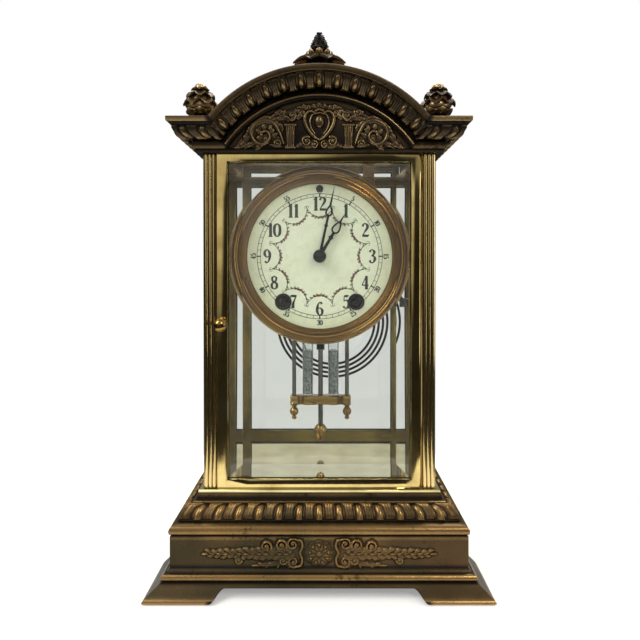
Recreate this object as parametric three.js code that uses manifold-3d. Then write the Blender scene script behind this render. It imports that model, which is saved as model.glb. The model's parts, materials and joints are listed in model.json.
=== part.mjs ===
// Four-glass mantel clock with an arched pediment: glazed brass case, cast base and top,
// spring-driven movement with a mercury-vial pendulum and a coiled gong.
// Millimetres, +Z up, +X to the clock's right as seen from the front, front at -Y.
// The origin is the middle of the base on the surface it stands on.
import * as THREE from 'three';
import { mergeVertices } from 'three/addons/utils/BufferGeometryUtils.js';
import Module from 'manifold-3d';

const wasm = await Module();
wasm.setup();

// ---- driving dimensions -------------------------------------------------------------
const GAP = 0.3; // left between neighbouring solids
const CASE_HALF_WIDTH = 81.5;
const CASE_HALF_DEPTH = 69;
const DEPTH_INSET = CASE_HALF_WIDTH - CASE_HALF_DEPTH; // mouldings: half depth = half width - inset
const POST = 9.6; // square corner post
const FLOOR_TOP = 64.1;
const GLAZING_BOTTOM = FLOOR_TOP + GAP;
const GLAZING_TOP = 298.2;
const TOP_BOTTOM = GLAZING_TOP + GAP;
const APRON_HEIGHT = 7.7;
const FOOT_RISE = 11; // how far the foot's inner edge runs while it rises to the apron
const FRONT_FOOT_INNER = 73; // half the gap between the feet, along X
const SIDE_FOOT_INNER = 55; // the same, along Y

const ARCH_CENTRE_Z = 258.5;
const ARCH_RADIUS = 96;
const ROOF_RADIUS = 94.5;
const CORNICE_TOP = 319.7;
const MITRE_LOW = [63.1, 300.8]; // where the level cornice turns up into the arch
const MITRE_HIGH = [74, CORNICE_TOP];

const DIAL_Z = 227.2;
const DIAL_RADIUS = 54.5;
const DIAL_FRONT = -47.2;
const DIAL_BACK = -46;
const BEZEL_RADIUS = 63.6;
const SIGHT_RADIUS = 53;
const WINDING_X = 26.7;
const WINDING_DROP = 33.3;
const REGULATOR_RISE = 49.6;

const PLATE_RADIUS = 60;
const FRONT_PLATE = [-38, -36];
const BACK_PLATE = [0, 2];
const PIVOT_RADIUS = 0.8;
const PIVOT_HOLE = 1.1;
const ARBOR_RADIUS = 1.2;
const WINDING_RADIUS = 2.2;
const WINDING_HOLE = 2.6;

const ANCHOR_Z = 266;
const PENDULUM_Z = 270.2; // top of the suspension spring
const PENDULUM_Y = 20;
const GONG_Y = 45;
const HINGE_X = 69.1;
const HINGE_Y = 66.5;
const LEAF_HALF = 2.5; // half the thickness of a door frame

// ---- materials ----------------------------------------------------------------------
const finish = (color, roughness, metalness, extra = {}) =>
  new THREE.MeshStandardMaterial({ color, roughness, metalness, ...extra });
const castBronze = () => finish(0x5b4a2c, 0.42, 0.9);
const darkBronze = () => finish(0x3a3020, 0.45, 0.85);
const brass = () => finish(0xb89a4a, 0.25, 1);
const copperBrass = () => finish(0xa8763a, 0.3, 1);
const steel = () => finish(0x8c8f92, 0.3, 1);
const blackSteel = () => finish(0x15151a, 0.4, 0.7);
const porcelain = () => finish(0xe8ead8, 0.3, 0);
const clearGlass = () => finish(0xdfe8e6, 0.05, 0, { transparent: true, opacity: 0.25 });

const clock = new THREE.Group();

function add(name, geometry, material, place = {}) {
  const mesh = new THREE.Mesh(geometry, material);
  mesh.name = name;
  mesh.position.set(place.x ?? 0, place.y ?? 0, place.z ?? 0);
  mesh.rotation.z = place.turn ?? 0;
  clock.add(mesh);
  return mesh;
}

// ---- solids -------------------------------------------------------------------------
function signedVolume(position, index) {
  const corners = [new THREE.Vector3(), new THREE.Vector3(), new THREE.Vector3()];
  let volume = 0;
  for (let i = 0; i < index.length; i += 3) {
    corners.forEach((corner, k) => corner.fromBufferAttribute(position, index[i + k]));
    volume += corners[0].dot(corners[1].cross(corners[2])) / 6;
  }
  return volume;
}

// Shared vertices, no empty triangles, faces pointing out.
function weld(geometry) {
  const bare = geometry.clone();
  bare.deleteAttribute('normal');
  bare.deleteAttribute('uv');
  const merged = mergeVertices(bare, 1e-4);
  const index = [];
  for (let i = 0; i < merged.index.count; i += 3) {
    const [a, b, c] = [0, 1, 2].map((k) => merged.index.getX(i + k));
    if (a !== b && b !== c && c !== a) index.push(a, b, c);
  }
  if (signedVolume(merged.attributes.position, index) < 0) index.reverse();
  merged.setIndex(index);
  return merged;
}

function toSolid(geometry) {
  const welded = weld(geometry);
  return new wasm.Manifold(new wasm.Mesh({
    numProp: 3,
    vertProperties: new Float32Array(welded.attributes.position.array),
    triVerts: new Uint32Array(welded.index.array),
  }));
}

function toGeometry(solid) {
  const mesh = solid.getMesh();
  const geometry = new THREE.BufferGeometry();
  geometry.setAttribute('position', new THREE.BufferAttribute(mesh.vertProperties, 3));
  geometry.setIndex(new THREE.BufferAttribute(mesh.triVerts, 1));
  return geometry;
}

const join = (...pieces) => toGeometry(pieces.map(toSolid).reduce((a, b) => a.add(b)));
const cut = (body, ...tools) => toGeometry(
  tools.map(toSolid).reduce((a, b) => a.subtract(b), toSolid(body)),
);
const common = (a, b) => toGeometry(toSolid(a).intersect(toSolid(b)));

// ---- basic shapes -------------------------------------------------------------------
function block(x0, x1, y0, y1, z0, z1) {
  const geometry = new THREE.BoxGeometry(x1 - x0, y1 - y0, z1 - z0);
  return weld(geometry.translate((x0 + x1) / 2, (y0 + y1) / 2, (z0 + z1) / 2));
}

// A cylinder along Y, from y0 to y1, through (x, z).
function rodY(radius, y0, y1, x = 0, z = 0, sides = 8) {
  const geometry = new THREE.CylinderGeometry(radius, radius, y1 - y0, sides);
  return weld(geometry.translate(x, (y0 + y1) / 2, z));
}

function rodZ(radius, z0, z1, x = 0, y = 0, sides = 8) {
  const geometry = new THREE.CylinderGeometry(radius, radius, z1 - z0, sides);
  return weld(geometry.rotateX(Math.PI / 2).translate(x, y, (z0 + z1) / 2));
}

// Turned about Y: the profile is [radius, y] pairs, from axis to axis or a closed loop.
function turnedY(profile, sides) {
  return weld(new THREE.LatheGeometry(profile.map(([r, y]) => new THREE.Vector2(r, y)), sides));
}

// Turned about Z: the profile is [radius, z] pairs.
function turnedZ(profile, sides) {
  return weld(turnedY(profile, sides).rotateX(Math.PI / 2));
}

function circle(radius, count, x = 0, z = 0) {
  return Array.from({ length: count }, (_, i) => {
    const angle = (i / count) * 2 * Math.PI;
    return new THREE.Vector2(x + radius * Math.cos(angle), z + radius * Math.sin(angle));
  });
}

// A flat piece whose outline lies in XZ, from y0 to y1.
function sheetXZ(outline, y0, y1, holes = []) {
  const shape = new THREE.Shape(outline);
  shape.holes = holes.map((hole) => new THREE.Path(hole));
  const geometry = new THREE.ExtrudeGeometry(shape, { depth: y1 - y0, bevelEnabled: false });
  return weld(geometry.rotateX(Math.PI / 2).translate(0, y1, 0));
}

const points = (pairs) => pairs.map(([a, b]) => new THREE.Vector2(a, b));
const mirrored = (pairs) => pairs.map(([a, b]) => [-a, b]).reverse();

// A skin over rings of four corners; ends are capped unless the rings close on themselves.
function skinRings(rings, closed) {
  const vertices = rings.flat(2);
  const index = [];
  const steps = closed ? rings.length : rings.length - 1;
  for (let i = 0; i < steps; i += 1) {
    const next = (i + 1) % rings.length;
    for (let k = 0; k < 4; k += 1) {
      const [a, b] = [4 * i + k, 4 * i + ((k + 1) % 4)];
      const [c, d] = [4 * next + ((k + 1) % 4), 4 * next + k];
      index.push(a, b, c, a, c, d);
    }
  }
  if (!closed) {
    const last = 4 * (rings.length - 1);
    index.push(2, 1, 0, 3, 2, 0, last, last + 1, last + 2, last, last + 2, last + 3);
  }
  const geometry = new THREE.BufferGeometry();
  geometry.setAttribute('position', new THREE.Float32BufferAttribute(vertices, 3));
  geometry.setIndex(index);
  return weld(geometry);
}

// A moulding mitred round the case: the profile is [half width, z] pairs, capped at both ends.
function mitredSolid(profile) {
  return skinRings(profile.map(([w, z]) => {
    const d = w - DEPTH_INSET;
    return [[-w, -d, z], [w, -d, z], [w, d, z], [-w, d, z]];
  }), false);
}

// ---- base ---------------------------------------------------------------------------
const UNDERSIDE = [[79, 54], [79, 38], [92, 38], [92, 0]];
const BASE_OUTSIDE = [
  [114.9, 0], [114.9, 1.6], [113.4, 3.4], [109.5, 6.6], [107.6, 8.4], [104.4, 10],
  [105, 12.2], [104.2, 14.3], [102.4, 15], [101.4, 16.8], [100.2, 17.6], [100.2, 38.6],
  [99.4, 39.4], [100.9, 41], [100.8, 43], [99, 45.4], [95.3, 46.4], [95.3, 47.4],
  [94.2, 47.8], [93.3, 51.5], [91, 54.5], [87.8, 56], [87.8, 57.5], [84.2, 57.7],
  [84.2, FLOOR_TOP - 2.2],
];

// Half of the gap under the apron, from the floor up the foot's curved inner edge.
function footEdge(inner) {
  const steps = 5;
  return Array.from({ length: steps + 1 }, (_, i) => {
    const t = i / steps;
    return [inner - FOOT_RISE * t, (APRON_HEIGHT * (1 - Math.cos(Math.PI * t))) / 2];
  });
}

function apronGap(inner, reach) {
  const half = [[inner, -1], ...footEdge(inner)];
  return sheetXZ(points([...half, ...mirrored(half)]), -reach, reach);
}

function baseCasting() {
  const frontGap = apronGap(FRONT_FOOT_INNER, 120);
  const sideGap = weld(apronGap(SIDE_FOOT_INNER, 120).rotateZ(Math.PI / 2));
  return cut(mitredSolid([...UNDERSIDE, ...BASE_OUTSIDE]), frontGap, sideGap);
}

add('base_casting', baseCasting(), castBronze());
add('floor_plate', block(-84.3, 84.3, -71.8, 71.8, FLOOR_TOP - 1.9, FLOOR_TOP), brass());

// ---- corner posts: three reeds on each face -------------------------------------------
function reededOutline() {
  const reeds = 3;
  const arcSteps = 3;
  const half = POST / 2;
  const depth = 0.9;
  const outline = [];
  for (let face = 0; face < 4; face += 1) {
    const turn = (face * Math.PI) / 2;
    for (let i = 0; i < reeds * arcSteps; i += 1) {
      const along = -half + depth + ((i / (reeds * arcSteps)) * (POST - 2 * depth));
      const swell = depth * Math.abs(Math.sin((Math.PI * i) / arcSteps));
      const across = half - depth + swell;
      outline.push(new THREE.Vector2(
        across * Math.cos(turn) - along * Math.sin(turn),
        across * Math.sin(turn) + along * Math.cos(turn),
      ));
    }
  }
  return outline;
}

function post() {
  const shape = new THREE.Shape(reededOutline());
  const depth = GLAZING_TOP - GLAZING_BOTTOM;
  return weld(new THREE.ExtrudeGeometry(shape, { depth, bevelEnabled: false }));
}

const POST_X = CASE_HALF_WIDTH - POST / 2;
const POST_Y = CASE_HALF_DEPTH - POST / 2;
for (const [end, sy] of [['front', -1], ['rear', 1]]) {
  for (const [side, sx] of [['left', -1], ['right', 1]]) {
    add(`post_${end}_${side}`, post(), brass(), { x: sx * POST_X, y: sy * POST_Y, z: GLAZING_BOTTOM });
  }
}

// ---- glazing ------------------------------------------------------------------------
const LIP = 2.4; // depth of the frame's front lip, with the glass behind it
const REBATE = 2;
const GLASS_EDGE = 1.6;
const BEVEL_WIDTH = 12;

// A bevelled plate standing in XZ; its flat back is at y = 0 and it thickens towards -Y.
function bevelledGlass(halfWidth, z0, z1, thickness) {
  const ring = (inset, y) => [
    [-halfWidth + inset, y, z0 + inset], [halfWidth - inset, y, z0 + inset],
    [halfWidth - inset, y, z1 - inset], [-halfWidth + inset, y, z1 - inset],
  ];
  return skinRings([ring(0, 0), ring(0, -GLASS_EDGE), ring(BEVEL_WIDTH, -thickness)], false);
}

const DOOR = {
  halfWidth: CASE_HALF_WIDTH - POST - GAP,
  bottom: GLAZING_BOTTOM + GAP,
  top: GLAZING_TOP - GAP,
  openHalfWidth: 64.1,
  openBottom: 70.6,
  openTop: 292.5,
};
const KNOB_X = -67.85;
const PIN_RADIUS = 1.2;
const PIN_HOLE = 1.5;
const PIN_REACH = 7;
const SPINDLE_RADIUS = 1.3;
const SPINDLE_HOLE = 1.6;

// A door frame about y = 0 with its face at -LEAF_HALF. The stile at +X is half round
// about the hinge axis, so that it turns without touching the post.
function doorFrame(knobZ) {
  const rectangle = (halfWidth, z0, z1, y) => [
    [-halfWidth, y, z0], [halfWidth, y, z0], [halfWidth, y, z1], [-halfWidth, y, z1],
  ];
  const around = (out, y) => rectangle(
    DOOR.openHalfWidth + out, DOOR.openBottom - out, DOOR.openTop + out, y,
  );
  const outer = (y) => rectangle(DOOR.halfWidth, DOOR.bottom, DOOR.top, y);
  const frame = skinRings([
    around(0, -LEAF_HALF), outer(-LEAF_HALF), outer(LEAF_HALF),
    around(REBATE, LEAF_HALF), around(REBATE, -LEAF_HALF + LIP), around(0, -LEAF_HALF + LIP),
  ], true);
  const arc = Array.from({ length: 9 }, (_, i) => {
    const angle = -Math.PI / 2 + (i / 8) * Math.PI;
    return new THREE.Vector2(HINGE_X + LEAF_HALF * Math.cos(angle), LEAF_HALF * Math.sin(angle));
  });
  const corner = points([[HINGE_X, LEAF_HALF + 1], [DOOR.halfWidth + 1, LEAF_HALF + 1],
    [DOOR.halfWidth + 1, -LEAF_HALF - 1], [HINGE_X, -LEAF_HALF - 1]]);
  const trimShape = new THREE.Shape([...arc, ...corner]);
  const trim = new THREE.ExtrudeGeometry(trimShape, { depth: 240, bevelEnabled: false });
  const bottomHole = rodZ(PIN_HOLE, DOOR.bottom - 1, DOOR.bottom + PIN_REACH + GAP, HINGE_X, 0);
  const topHole = rodZ(PIN_HOLE, DOOR.top - PIN_REACH - GAP, DOOR.top + 1, HINGE_X, 0);
  const spindleHole = rodY(SPINDLE_HOLE, -LEAF_HALF - 1, LEAF_HALF + 1, KNOB_X, knobZ);
  return cut(frame, trim.translate(0, 0, DOOR.bottom - 1), bottomHole, topHole, spindleHole);
}

// A turned knob in front of the stile, its spindle, and the catch behind the corner post.
function doorLatch(knobZ) {
  const knob = turnedY([
    [0, -15.5], [2.6, -15.1], [4.3, -13.2], [4.5, -10.8], [3.4, -8.8], [1.9, -7.4],
    [1.9, -4.6], [3.2, -3.6], [3.2, -LEAF_HALF - GAP], [SPINDLE_RADIUS, -LEAF_HALF - GAP],
    [SPINDLE_RADIUS, 9], [0, 9],
  ], 12).translate(KNOB_X, 0, knobZ);
  const catchPlate = block(KNOB_X - 2.4, KNOB_X + 2.4, 7.6, 9, knobZ - 3, knobZ + 7.4);
  return join(knob, catchPlate);
}

function hingePin(z0, z1) {
  return rodZ(PIN_RADIUS, z0, z1, HINGE_X, 0);
}

const GLASS_BACK = LEAF_HALF - GAP / 2;
const doorGlass = () => bevelledGlass(
  DOOR.openHalfWidth + REBATE - GAP, DOOR.openBottom - REBATE + GAP, DOOR.openTop + REBATE - GAP, 4,
).translate(0, GLASS_BACK, 0);
// The rear door is the front door mirrored front to back, so both hinge on the right.
for (const [end, sy, knobZ] of [['front', -1, 179.4], ['rear', 1, 187]]) {
  const place = { y: sy * HINGE_Y };
  const facing = (geometry) => weld(geometry.scale(1, -sy, 1));
  add(`${end}_door_frame`, facing(doorFrame(knobZ)), brass(), place);
  add(`${end}_door_glass`, facing(doorGlass()), clearGlass(), place);
  add(`${end}_door_latch`, facing(doorLatch(knobZ)), brass(), place);
  add(`${end}_hinge_pin_bottom`, hingePin(GLAZING_BOTTOM, DOOR.bottom + PIN_REACH), steel(), place);
  add(`${end}_hinge_pin_top`, hingePin(DOOR.top - PIN_REACH, GLAZING_TOP), steel(), place);
}

const SIDE_GLASS_HALF = CASE_HALF_DEPTH - POST - GAP;
const sideGlass = () => bevelledGlass(SIDE_GLASS_HALF, GLAZING_BOTTOM, GLAZING_TOP, 4);
add('side_glass_left', sideGlass(), clearGlass(), { x: -76.2, turn: -Math.PI / 2 });
add('side_glass_right', sideGlass(), clearGlass(), { x: 76.2, turn: Math.PI / 2 });

// ---- top casting ----------------------------------------------------------------------
const CORNICE = [
  [85.9, TOP_BOTTOM], [85.9, 300.8], [87, 300.9], [87, 307.3], [90.5, 307.6], [94.3, 308.4],
  [96.6, 310.6], [98.2, 314], [100.2, 316], [102, 316.4], [102, CORNICE_TOP],
];
// Front half of the arch's section as [radius from the arch centre, y].
const ARCH_FACE = [
  [76, -73.2], [76.4, -75.8], [78.2, -76.9], [80, -76], [80.6, -74.5], [83.2, -74.5],
  [83.5, -78], [85.3, -82.2], [88.4, -85], [91.6, -86.6], [91.8, -89.5],
  [ARCH_RADIUS, -89.5], [ARCH_RADIUS, -82], [ROOF_RADIUS, -81],
];

const CAVITY_HALF_WIDTH = 81;
const CAVITY_HALF_DEPTH = 68.6;
const CAVITY_CEILING = 313.4; // over the level cornice
const CAVITY_RADIUS = ROOF_RADIUS - 5; // under the arch
function cavityOutline() {
  const steps = 20;
  const start = Math.asin((CAVITY_CEILING - ARCH_CENTRE_Z) / CAVITY_RADIUS);
  const vault = Array.from({ length: steps + 1 }, (_, i) => {
    const angle = start + (i / steps) * (Math.PI - 2 * start);
    return [CAVITY_RADIUS * Math.cos(angle), ARCH_CENTRE_Z + CAVITY_RADIUS * Math.sin(angle)];
  });
  const floor = TOP_BOTTOM - 5;
  return points([
    [-CAVITY_HALF_WIDTH, floor], [CAVITY_HALF_WIDTH, floor], [CAVITY_HALF_WIDTH, CAVITY_CEILING],
    ...vault, [-CAVITY_HALF_WIDTH, CAVITY_CEILING],
  ]);
}

// The wedge of the front view that the arch fills, widened a little on each side.
function keystone(widen) {
  const slope = (MITRE_HIGH[0] - MITRE_LOW[0]) / (MITRE_HIGH[1] - MITRE_LOW[1]);
  const top = ARCH_CENTRE_Z + ARCH_RADIUS + 10;
  const side = [
    [MITRE_LOW[0] + widen, MITRE_LOW[1] - widen],
    [MITRE_HIGH[0] + widen + slope * (top - MITRE_HIGH[1]), top],
  ];
  return sheetXZ(points([...side, ...mirrored(side)]), -100, 100);
}

function topCasting() {
  const half = [[0, -73.2], ...ARCH_FACE];
  const section = [...half, ...half.map(([r, y]) => [r, -y]).reverse()];
  const drum = turnedY(section, 60).translate(0, 0, ARCH_CENTRE_Z);
  const level = cut(mitredSolid(CORNICE), keystone(0));
  const arch = common(drum, keystone(0.05));
  const cavity = sheetXZ(cavityOutline(), -CAVITY_HALF_DEPTH, CAVITY_HALF_DEPTH);
  return cut(join(level, arch), cavity);
}

add('top_casting', topCasting(), darkBronze());

// Ceiling of the case with the strip that the gong hangs from.
function ceiling() {
  const plate = block(-80.6, 80.6, -68.2, 68.2, TOP_BOTTOM, 300.3);
  const strip = block(37, 47, GONG_Y - 1.5, GONG_Y + 1.5, 222, 299);
  const neck = block(42.6, 46.6, GONG_Y - 1.5, GONG_Y + 1.5, 208, 223);
  const clamp = block(42, 50, GONG_Y - 4, GONG_Y + 4, 206, 213);
  return join(plate, strip, neck, clamp);
}
add('case_top_plate', ceiling(), brass());

// ---- finials --------------------------------------------------------------------------
const URN = [
  [0, 0], [4.6, 0], [5, 1.8], [3.8, 3.2], [6, 5.8], [9.8, 8.4], [10.5, 11], [8.8, 13.8],
  [8, 16.4], [5.2, 18.8], [3.6, 20.4], [4.2, 22.6], [3.1, 25.2], [0, 26],
];
const PINE_CONE = [
  [0, 0], [10.6, 0], [11, 3], [9.8, 7.6], [11.6, 9.6], [8.4, 13], [4.4, 14.4], [6.4, 16.4],
  [6.3, 18.8], [4.6, 23.2], [2.2, 27.4], [0, 29],
];
const FINIAL_X = 82;
const FINIAL_Y = 72;
for (const [end, sy] of [['front', -1], ['rear', 1]]) {
  for (const [side, sx] of [['left', -1], ['right', 1]]) {
    add(`finial_${end}_${side}`, turnedZ(URN, 10), darkBronze(),
      { x: sx * FINIAL_X, y: sy * FINIAL_Y, z: CORNICE_TOP + GAP });
  }
}
add('centre_finial', turnedZ(PINE_CONE, 12), darkBronze(),
  { y: -CASE_HALF_DEPTH, z: ARCH_CENTRE_Z + ROOF_RADIUS + GAP });

// ---- dial and bezel -------------------------------------------------------------------
const BEZEL = [
  [BEZEL_RADIUS, -44.4], [BEZEL_RADIUS, -49.6], [62.4, -51.6], [61, -52], [59.6, -51.2],
  [58.6, -49.8], [56.4, -50.2], [54.6, -49.4], [SIGHT_RADIUS, -48.4], [SIGHT_RADIUS, -47.5],
  [DIAL_RADIUS + GAP, -47.5], [DIAL_RADIUS + GAP, -44.4], [BEZEL_RADIUS, -44.4],
];
add('bezel', turnedY(BEZEL, 36), copperBrass(), { z: DIAL_Z });

const DIAL_HOLES = [
  circle(3.2, 10),
  circle(4.4, 10, -WINDING_X, -WINDING_DROP),
  circle(4.4, 10, WINDING_X, -WINDING_DROP),
  circle(2.8, 8, 0, REGULATOR_RISE),
];
const dialPlate = sheetXZ(circle(DIAL_RADIUS, 40), DIAL_FRONT, DIAL_BACK, DIAL_HOLES);
add('dial', dialPlate, porcelain(), { z: DIAL_Z });

// Ring behind the bezel, with the two straps that carry the movement in the case.
function movementRing() {
  const ring = sheetXZ(circle(65, 40), -44.1, FRONT_PLATE[0] - GAP, [circle(56, 32)]);
  const strap = block(63, 75.9, -43, -40, -5, 5);
  return join(ring, strap, block(-75.9, -63, -43, -40, -5, 5));
}
add('movement_ring', movementRing(), brass(), { z: DIAL_Z });

// ---- movement: wheels turn about Y, at [x, z] from the dial centre ----------------------
const CENTRE = [0, 0];
const TIME_ARBOR = [WINDING_X, -WINDING_DROP];
const STRIKE_ARBOR = [-WINDING_X, -WINDING_DROP];
const SECOND = [12.1, -15.1];
const THIRD = [15, 14.4];
const ESCAPE = [0, 24];
const ANCHOR = [0, ANCHOR_Z - DIAL_Z];
const STRIKE_WHEEL = [-12.1, -15.1];
const FLY = [-28.8, -9];
const MINUTE_WHEEL = [-8.7, 8.7];
const HAMMER = [44, -14];
const PILLARS = [[0, -51], [47.9, 17.4], [-47.9, 17.4]];

// A toothed disc: one point at the tip and one at the root of each tooth.
function toothed(radius, teeth, y0, y1, hole = 0) {
  const toothDepth = 1.2;
  const rim = Array.from({ length: teeth * 2 }, (_, i) => {
    const r = i % 2 === 0 ? radius : radius - toothDepth;
    const angle = (i / (teeth * 2)) * 2 * Math.PI;
    return new THREE.Vector2(r * Math.cos(angle), r * Math.sin(angle));
  });
  return sheetXZ(rim, y0, y1, hole > 0 ? [circle(hole, 8)] : []);
}

// An arbor between the plates with its pinion; the pivots run in the plates' holes.
function arbor(pinionRadius, pinion) {
  const ends = [FRONT_PLATE[1] + GAP, BACK_PLATE[0] - GAP];
  return turnedY([
    [0, ends[0] - 2], [PIVOT_RADIUS, ends[0] - 2], [PIVOT_RADIUS, ends[0]],
    [ARBOR_RADIUS, ends[0]], [ARBOR_RADIUS, pinion[0]],
    [pinionRadius, pinion[0]], [pinionRadius, pinion[1]],
    [ARBOR_RADIUS, pinion[1]], [ARBOR_RADIUS, ends[1]],
    [PIVOT_RADIUS, ends[1]], [PIVOT_RADIUS, ends[1] + 2], [0, ends[1] + 2],
  ], 8);
}

function addWheel(name, [x, z], geometry, material = brass()) {
  add(name, geometry, material, { x, z: DIAL_Z + z });
}

// Radii leave the running gap between tooth tips and pinions.
const PINION = 3;
const SMALL_PINION = 2.5;
addWheel('second_wheel', SECOND, join(arbor(PINION, [-18, -14]), toothed(16.1, 40, -10, -8.5)));
addWheel('third_wheel', THIRD, join(arbor(SMALL_PINION, [-6.5, -3]), toothed(15, 38, -14, -12.5)));
addWheel('escape_wheel', ESCAPE, join(arbor(SMALL_PINION, [-15, -11.5]), toothed(11, 30, -24, -22.5)));
addWheel('strike_wheel', STRIKE_WHEEL, join(arbor(PINION, [-18, -14.5]), toothed(15, 38, -13.4, -11.9)));
const vane = block(-7, 7, -35.2, -32.4, -0.6, 0.6);
addWheel('fly', FLY, join(arbor(SMALL_PINION, [-14.5, -11]), vane), steel());

// Barrels are solid drums, each with its wheel, turning on a winding arbor.
function barrel() {
  const drum = turnedY([
    [WINDING_HOLE, -32], [18.5, -32], [18.5, -17], [WINDING_HOLE, -17], [WINDING_HOLE, -32],
  ], 24);
  return join(drum, toothed(20, 50, -17.5, -15.2, WINDING_HOLE));
}

function windingArbor() {
  const shaft = rodY(WINDING_RADIUS, -44, 1.5);
  const square = block(-1.7, 1.7, -49.4, -43, -1.7, 1.7);
  return join(shaft, square);
}
for (const [train, place] of [['time', TIME_ARBOR], ['strike', STRIKE_ARBOR]]) {
  addWheel(`${train}_barrel`, place, barrel());
  addWheel(`${train}_winding_arbor`, place, windingArbor(), steel());
}

// The centre arbor runs out through the dial and carries the minute hand.
function centreWheel() {
  const shaft = turnedY([
    [0, -54.2], [1, -54.2], [1, -52], [1.3, -52], [1.3, -41], [3, -41], [3, -39], [1.3, -39],
    [1.3, -11], [PINION, -11], [PINION, -7.5], [ARBOR_RADIUS, -7.5], [ARBOR_RADIUS, BACK_PLATE[0] - GAP],
    [PIVOT_RADIUS, BACK_PLATE[0] - GAP], [PIVOT_RADIUS, 1.7], [0, 1.7],
  ], 10);
  return join(shaft, toothed(18, 45, -5.5, -4));
}
addWheel('centre_wheel', CENTRE, centreWheel());

function minuteWheel() {
  const stud = turnedY([
    [0, -44.8], [2.4, -44.8], [2.4, -42], [ARBOR_RADIUS, -42], [ARBOR_RADIUS, FRONT_PLATE[0] - GAP],
    [PIVOT_RADIUS, FRONT_PLATE[0] - GAP], [PIVOT_RADIUS, -36.3], [0, -36.3],
  ], 8);
  return join(stud, toothed(9, 36, -41, -39.6));
}
addWheel('minute_wheel', MINUTE_WHEEL, minuteWheel());

// ---- plates ---------------------------------------------------------------------------
const PIVOTED = [SECOND, THIRD, ESCAPE, STRIKE_WHEEL, FLY];
const hole = (radius, [x, z]) => circle(radius, 6, x, z);
const plateHoles = (centreHole) => [
  ...PIVOTED.map((at) => hole(PIVOT_HOLE, at)), hole(centreHole, CENTRE),
  hole(WINDING_HOLE, TIME_ARBOR), hole(WINDING_HOLE, STRIKE_ARBOR),
];
const frontHoles = [...plateHoles(1.6), hole(PIVOT_HOLE, ANCHOR), hole(PIVOT_HOLE, MINUTE_WHEEL),
  hole(PIVOT_HOLE, HAMMER)];
const backHoles = [...plateHoles(PIVOT_HOLE), hole(1.6, ANCHOR), hole(1.6, HAMMER)];
add('front_plate', sheetXZ(circle(PLATE_RADIUS, 36), ...FRONT_PLATE, frontHoles), brass(), { z: DIAL_Z });
add('back_plate', sheetXZ(circle(PLATE_RADIUS, 36), ...BACK_PLATE, backHoles), brass(), { z: DIAL_Z });
PILLARS.forEach((at, i) => {
  addWheel(`pillar_${i + 1}`, at, rodY(3, FRONT_PLATE[1] + GAP, BACK_PLATE[0] - GAP));
});

// ---- hands: a round boss, a thin stem, an open spade and a point -------------------------
function handOutline(length, hub, loopAt, [loopHalf, loopReach], stem) {
  const tipHalf = 0.4;
  const sweep = (from, to, steps, at) => Array.from(
    { length: steps + 1 },
    (_, i) => at(from + (i / steps) * (to - from)),
  );
  const boss = sweep(-Math.PI / 2, Math.acos(stem / hub), 6, (a) => [
    hub * Math.cos(a), hub * Math.sin(a),
  ]);
  const spade = sweep(-Math.acos(stem / loopHalf), Math.acos(tipHalf / loopHalf), 8, (a) => [
    loopHalf * Math.cos(a), loopAt + loopReach * Math.sin(a),
  ]);
  const half = [...boss.slice(1), ...spade];
  return points([[0, -hub], ...half, [0, length], ...mirrored(half)]);
}

function ellipse(halfWidth, halfHeight, z) {
  return circle(1, 12).map((p) => new THREE.Vector2(p.x * halfWidth, z + p.y * halfHeight));
}

const HOUR_ANGLE = THREE.MathUtils.degToRad(31);
const MINUTE_ANGLE = THREE.MathUtils.degToRad(12);
function hourHand() {
  const outline = handOutline(36, 4, 24, [4.6, 6], 1.1);
  const blade = sheetXZ(outline, -50.6, -49.8, [circle(2.9, 10), ellipse(2.8, 3.9, 24)]);
  return weld(blade.rotateY(HOUR_ANGLE));
}
function hourWheel() {
  const pipe = turnedY([
    [1.7, -50.6], [2.6, -50.6], [2.6, -44], [3.4, -44], [3.4, -42.2], [1.7, -42.2], [1.7, -50.6],
  ], 10);
  return join(pipe, toothed(9.5, 40, -44.8, -43.4, 2));
}
function minuteHand() {
  const outline = handOutline(52, 3.4, 38, [3.4, 6.4], 0.9);
  const blade = sheetXZ(outline, -52.9, -52.2, [circle(1.6, 10), ellipse(1.9, 4, 38)]);
  return weld(blade.rotateY(MINUTE_ANGLE));
}
const HAND_NUT = [
  [0, -58.2], [2.4, -57.7], [4.3, -56.2], [5, -54.2], [5, -53.2],
  [1.4, -53.2], [1.4, -54.5], [0, -54.5],
];
add('hour_hand', hourHand(), blackSteel(), { z: DIAL_Z });
add('hour_wheel', hourWheel(), brass(), { z: DIAL_Z });
add('minute_hand', minuteHand(), blackSteel(), { z: DIAL_Z });
add('hand_nut', turnedY(HAND_NUT, 14), blackSteel(), { z: DIAL_Z });
const regulator = join(rodY(2.4, -48.6, -44.5), rodY(1.2, -45, -38.3));
addWheel('regulator_arbor', [0, REGULATOR_RISE], regulator, steel());

// ---- escapement, crutch and hammer -----------------------------------------------------
// An arbor that runs out through the back plate to y1.
function longArbor(y1) {
  const end = FRONT_PLATE[1] + GAP;
  return turnedY([
    [0, end - 1.9], [PIVOT_RADIUS, end - 1.9], [PIVOT_RADIUS, end],
    [ARBOR_RADIUS, end], [ARBOR_RADIUS, y1], [0, y1],
  ], 8);
}

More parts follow.
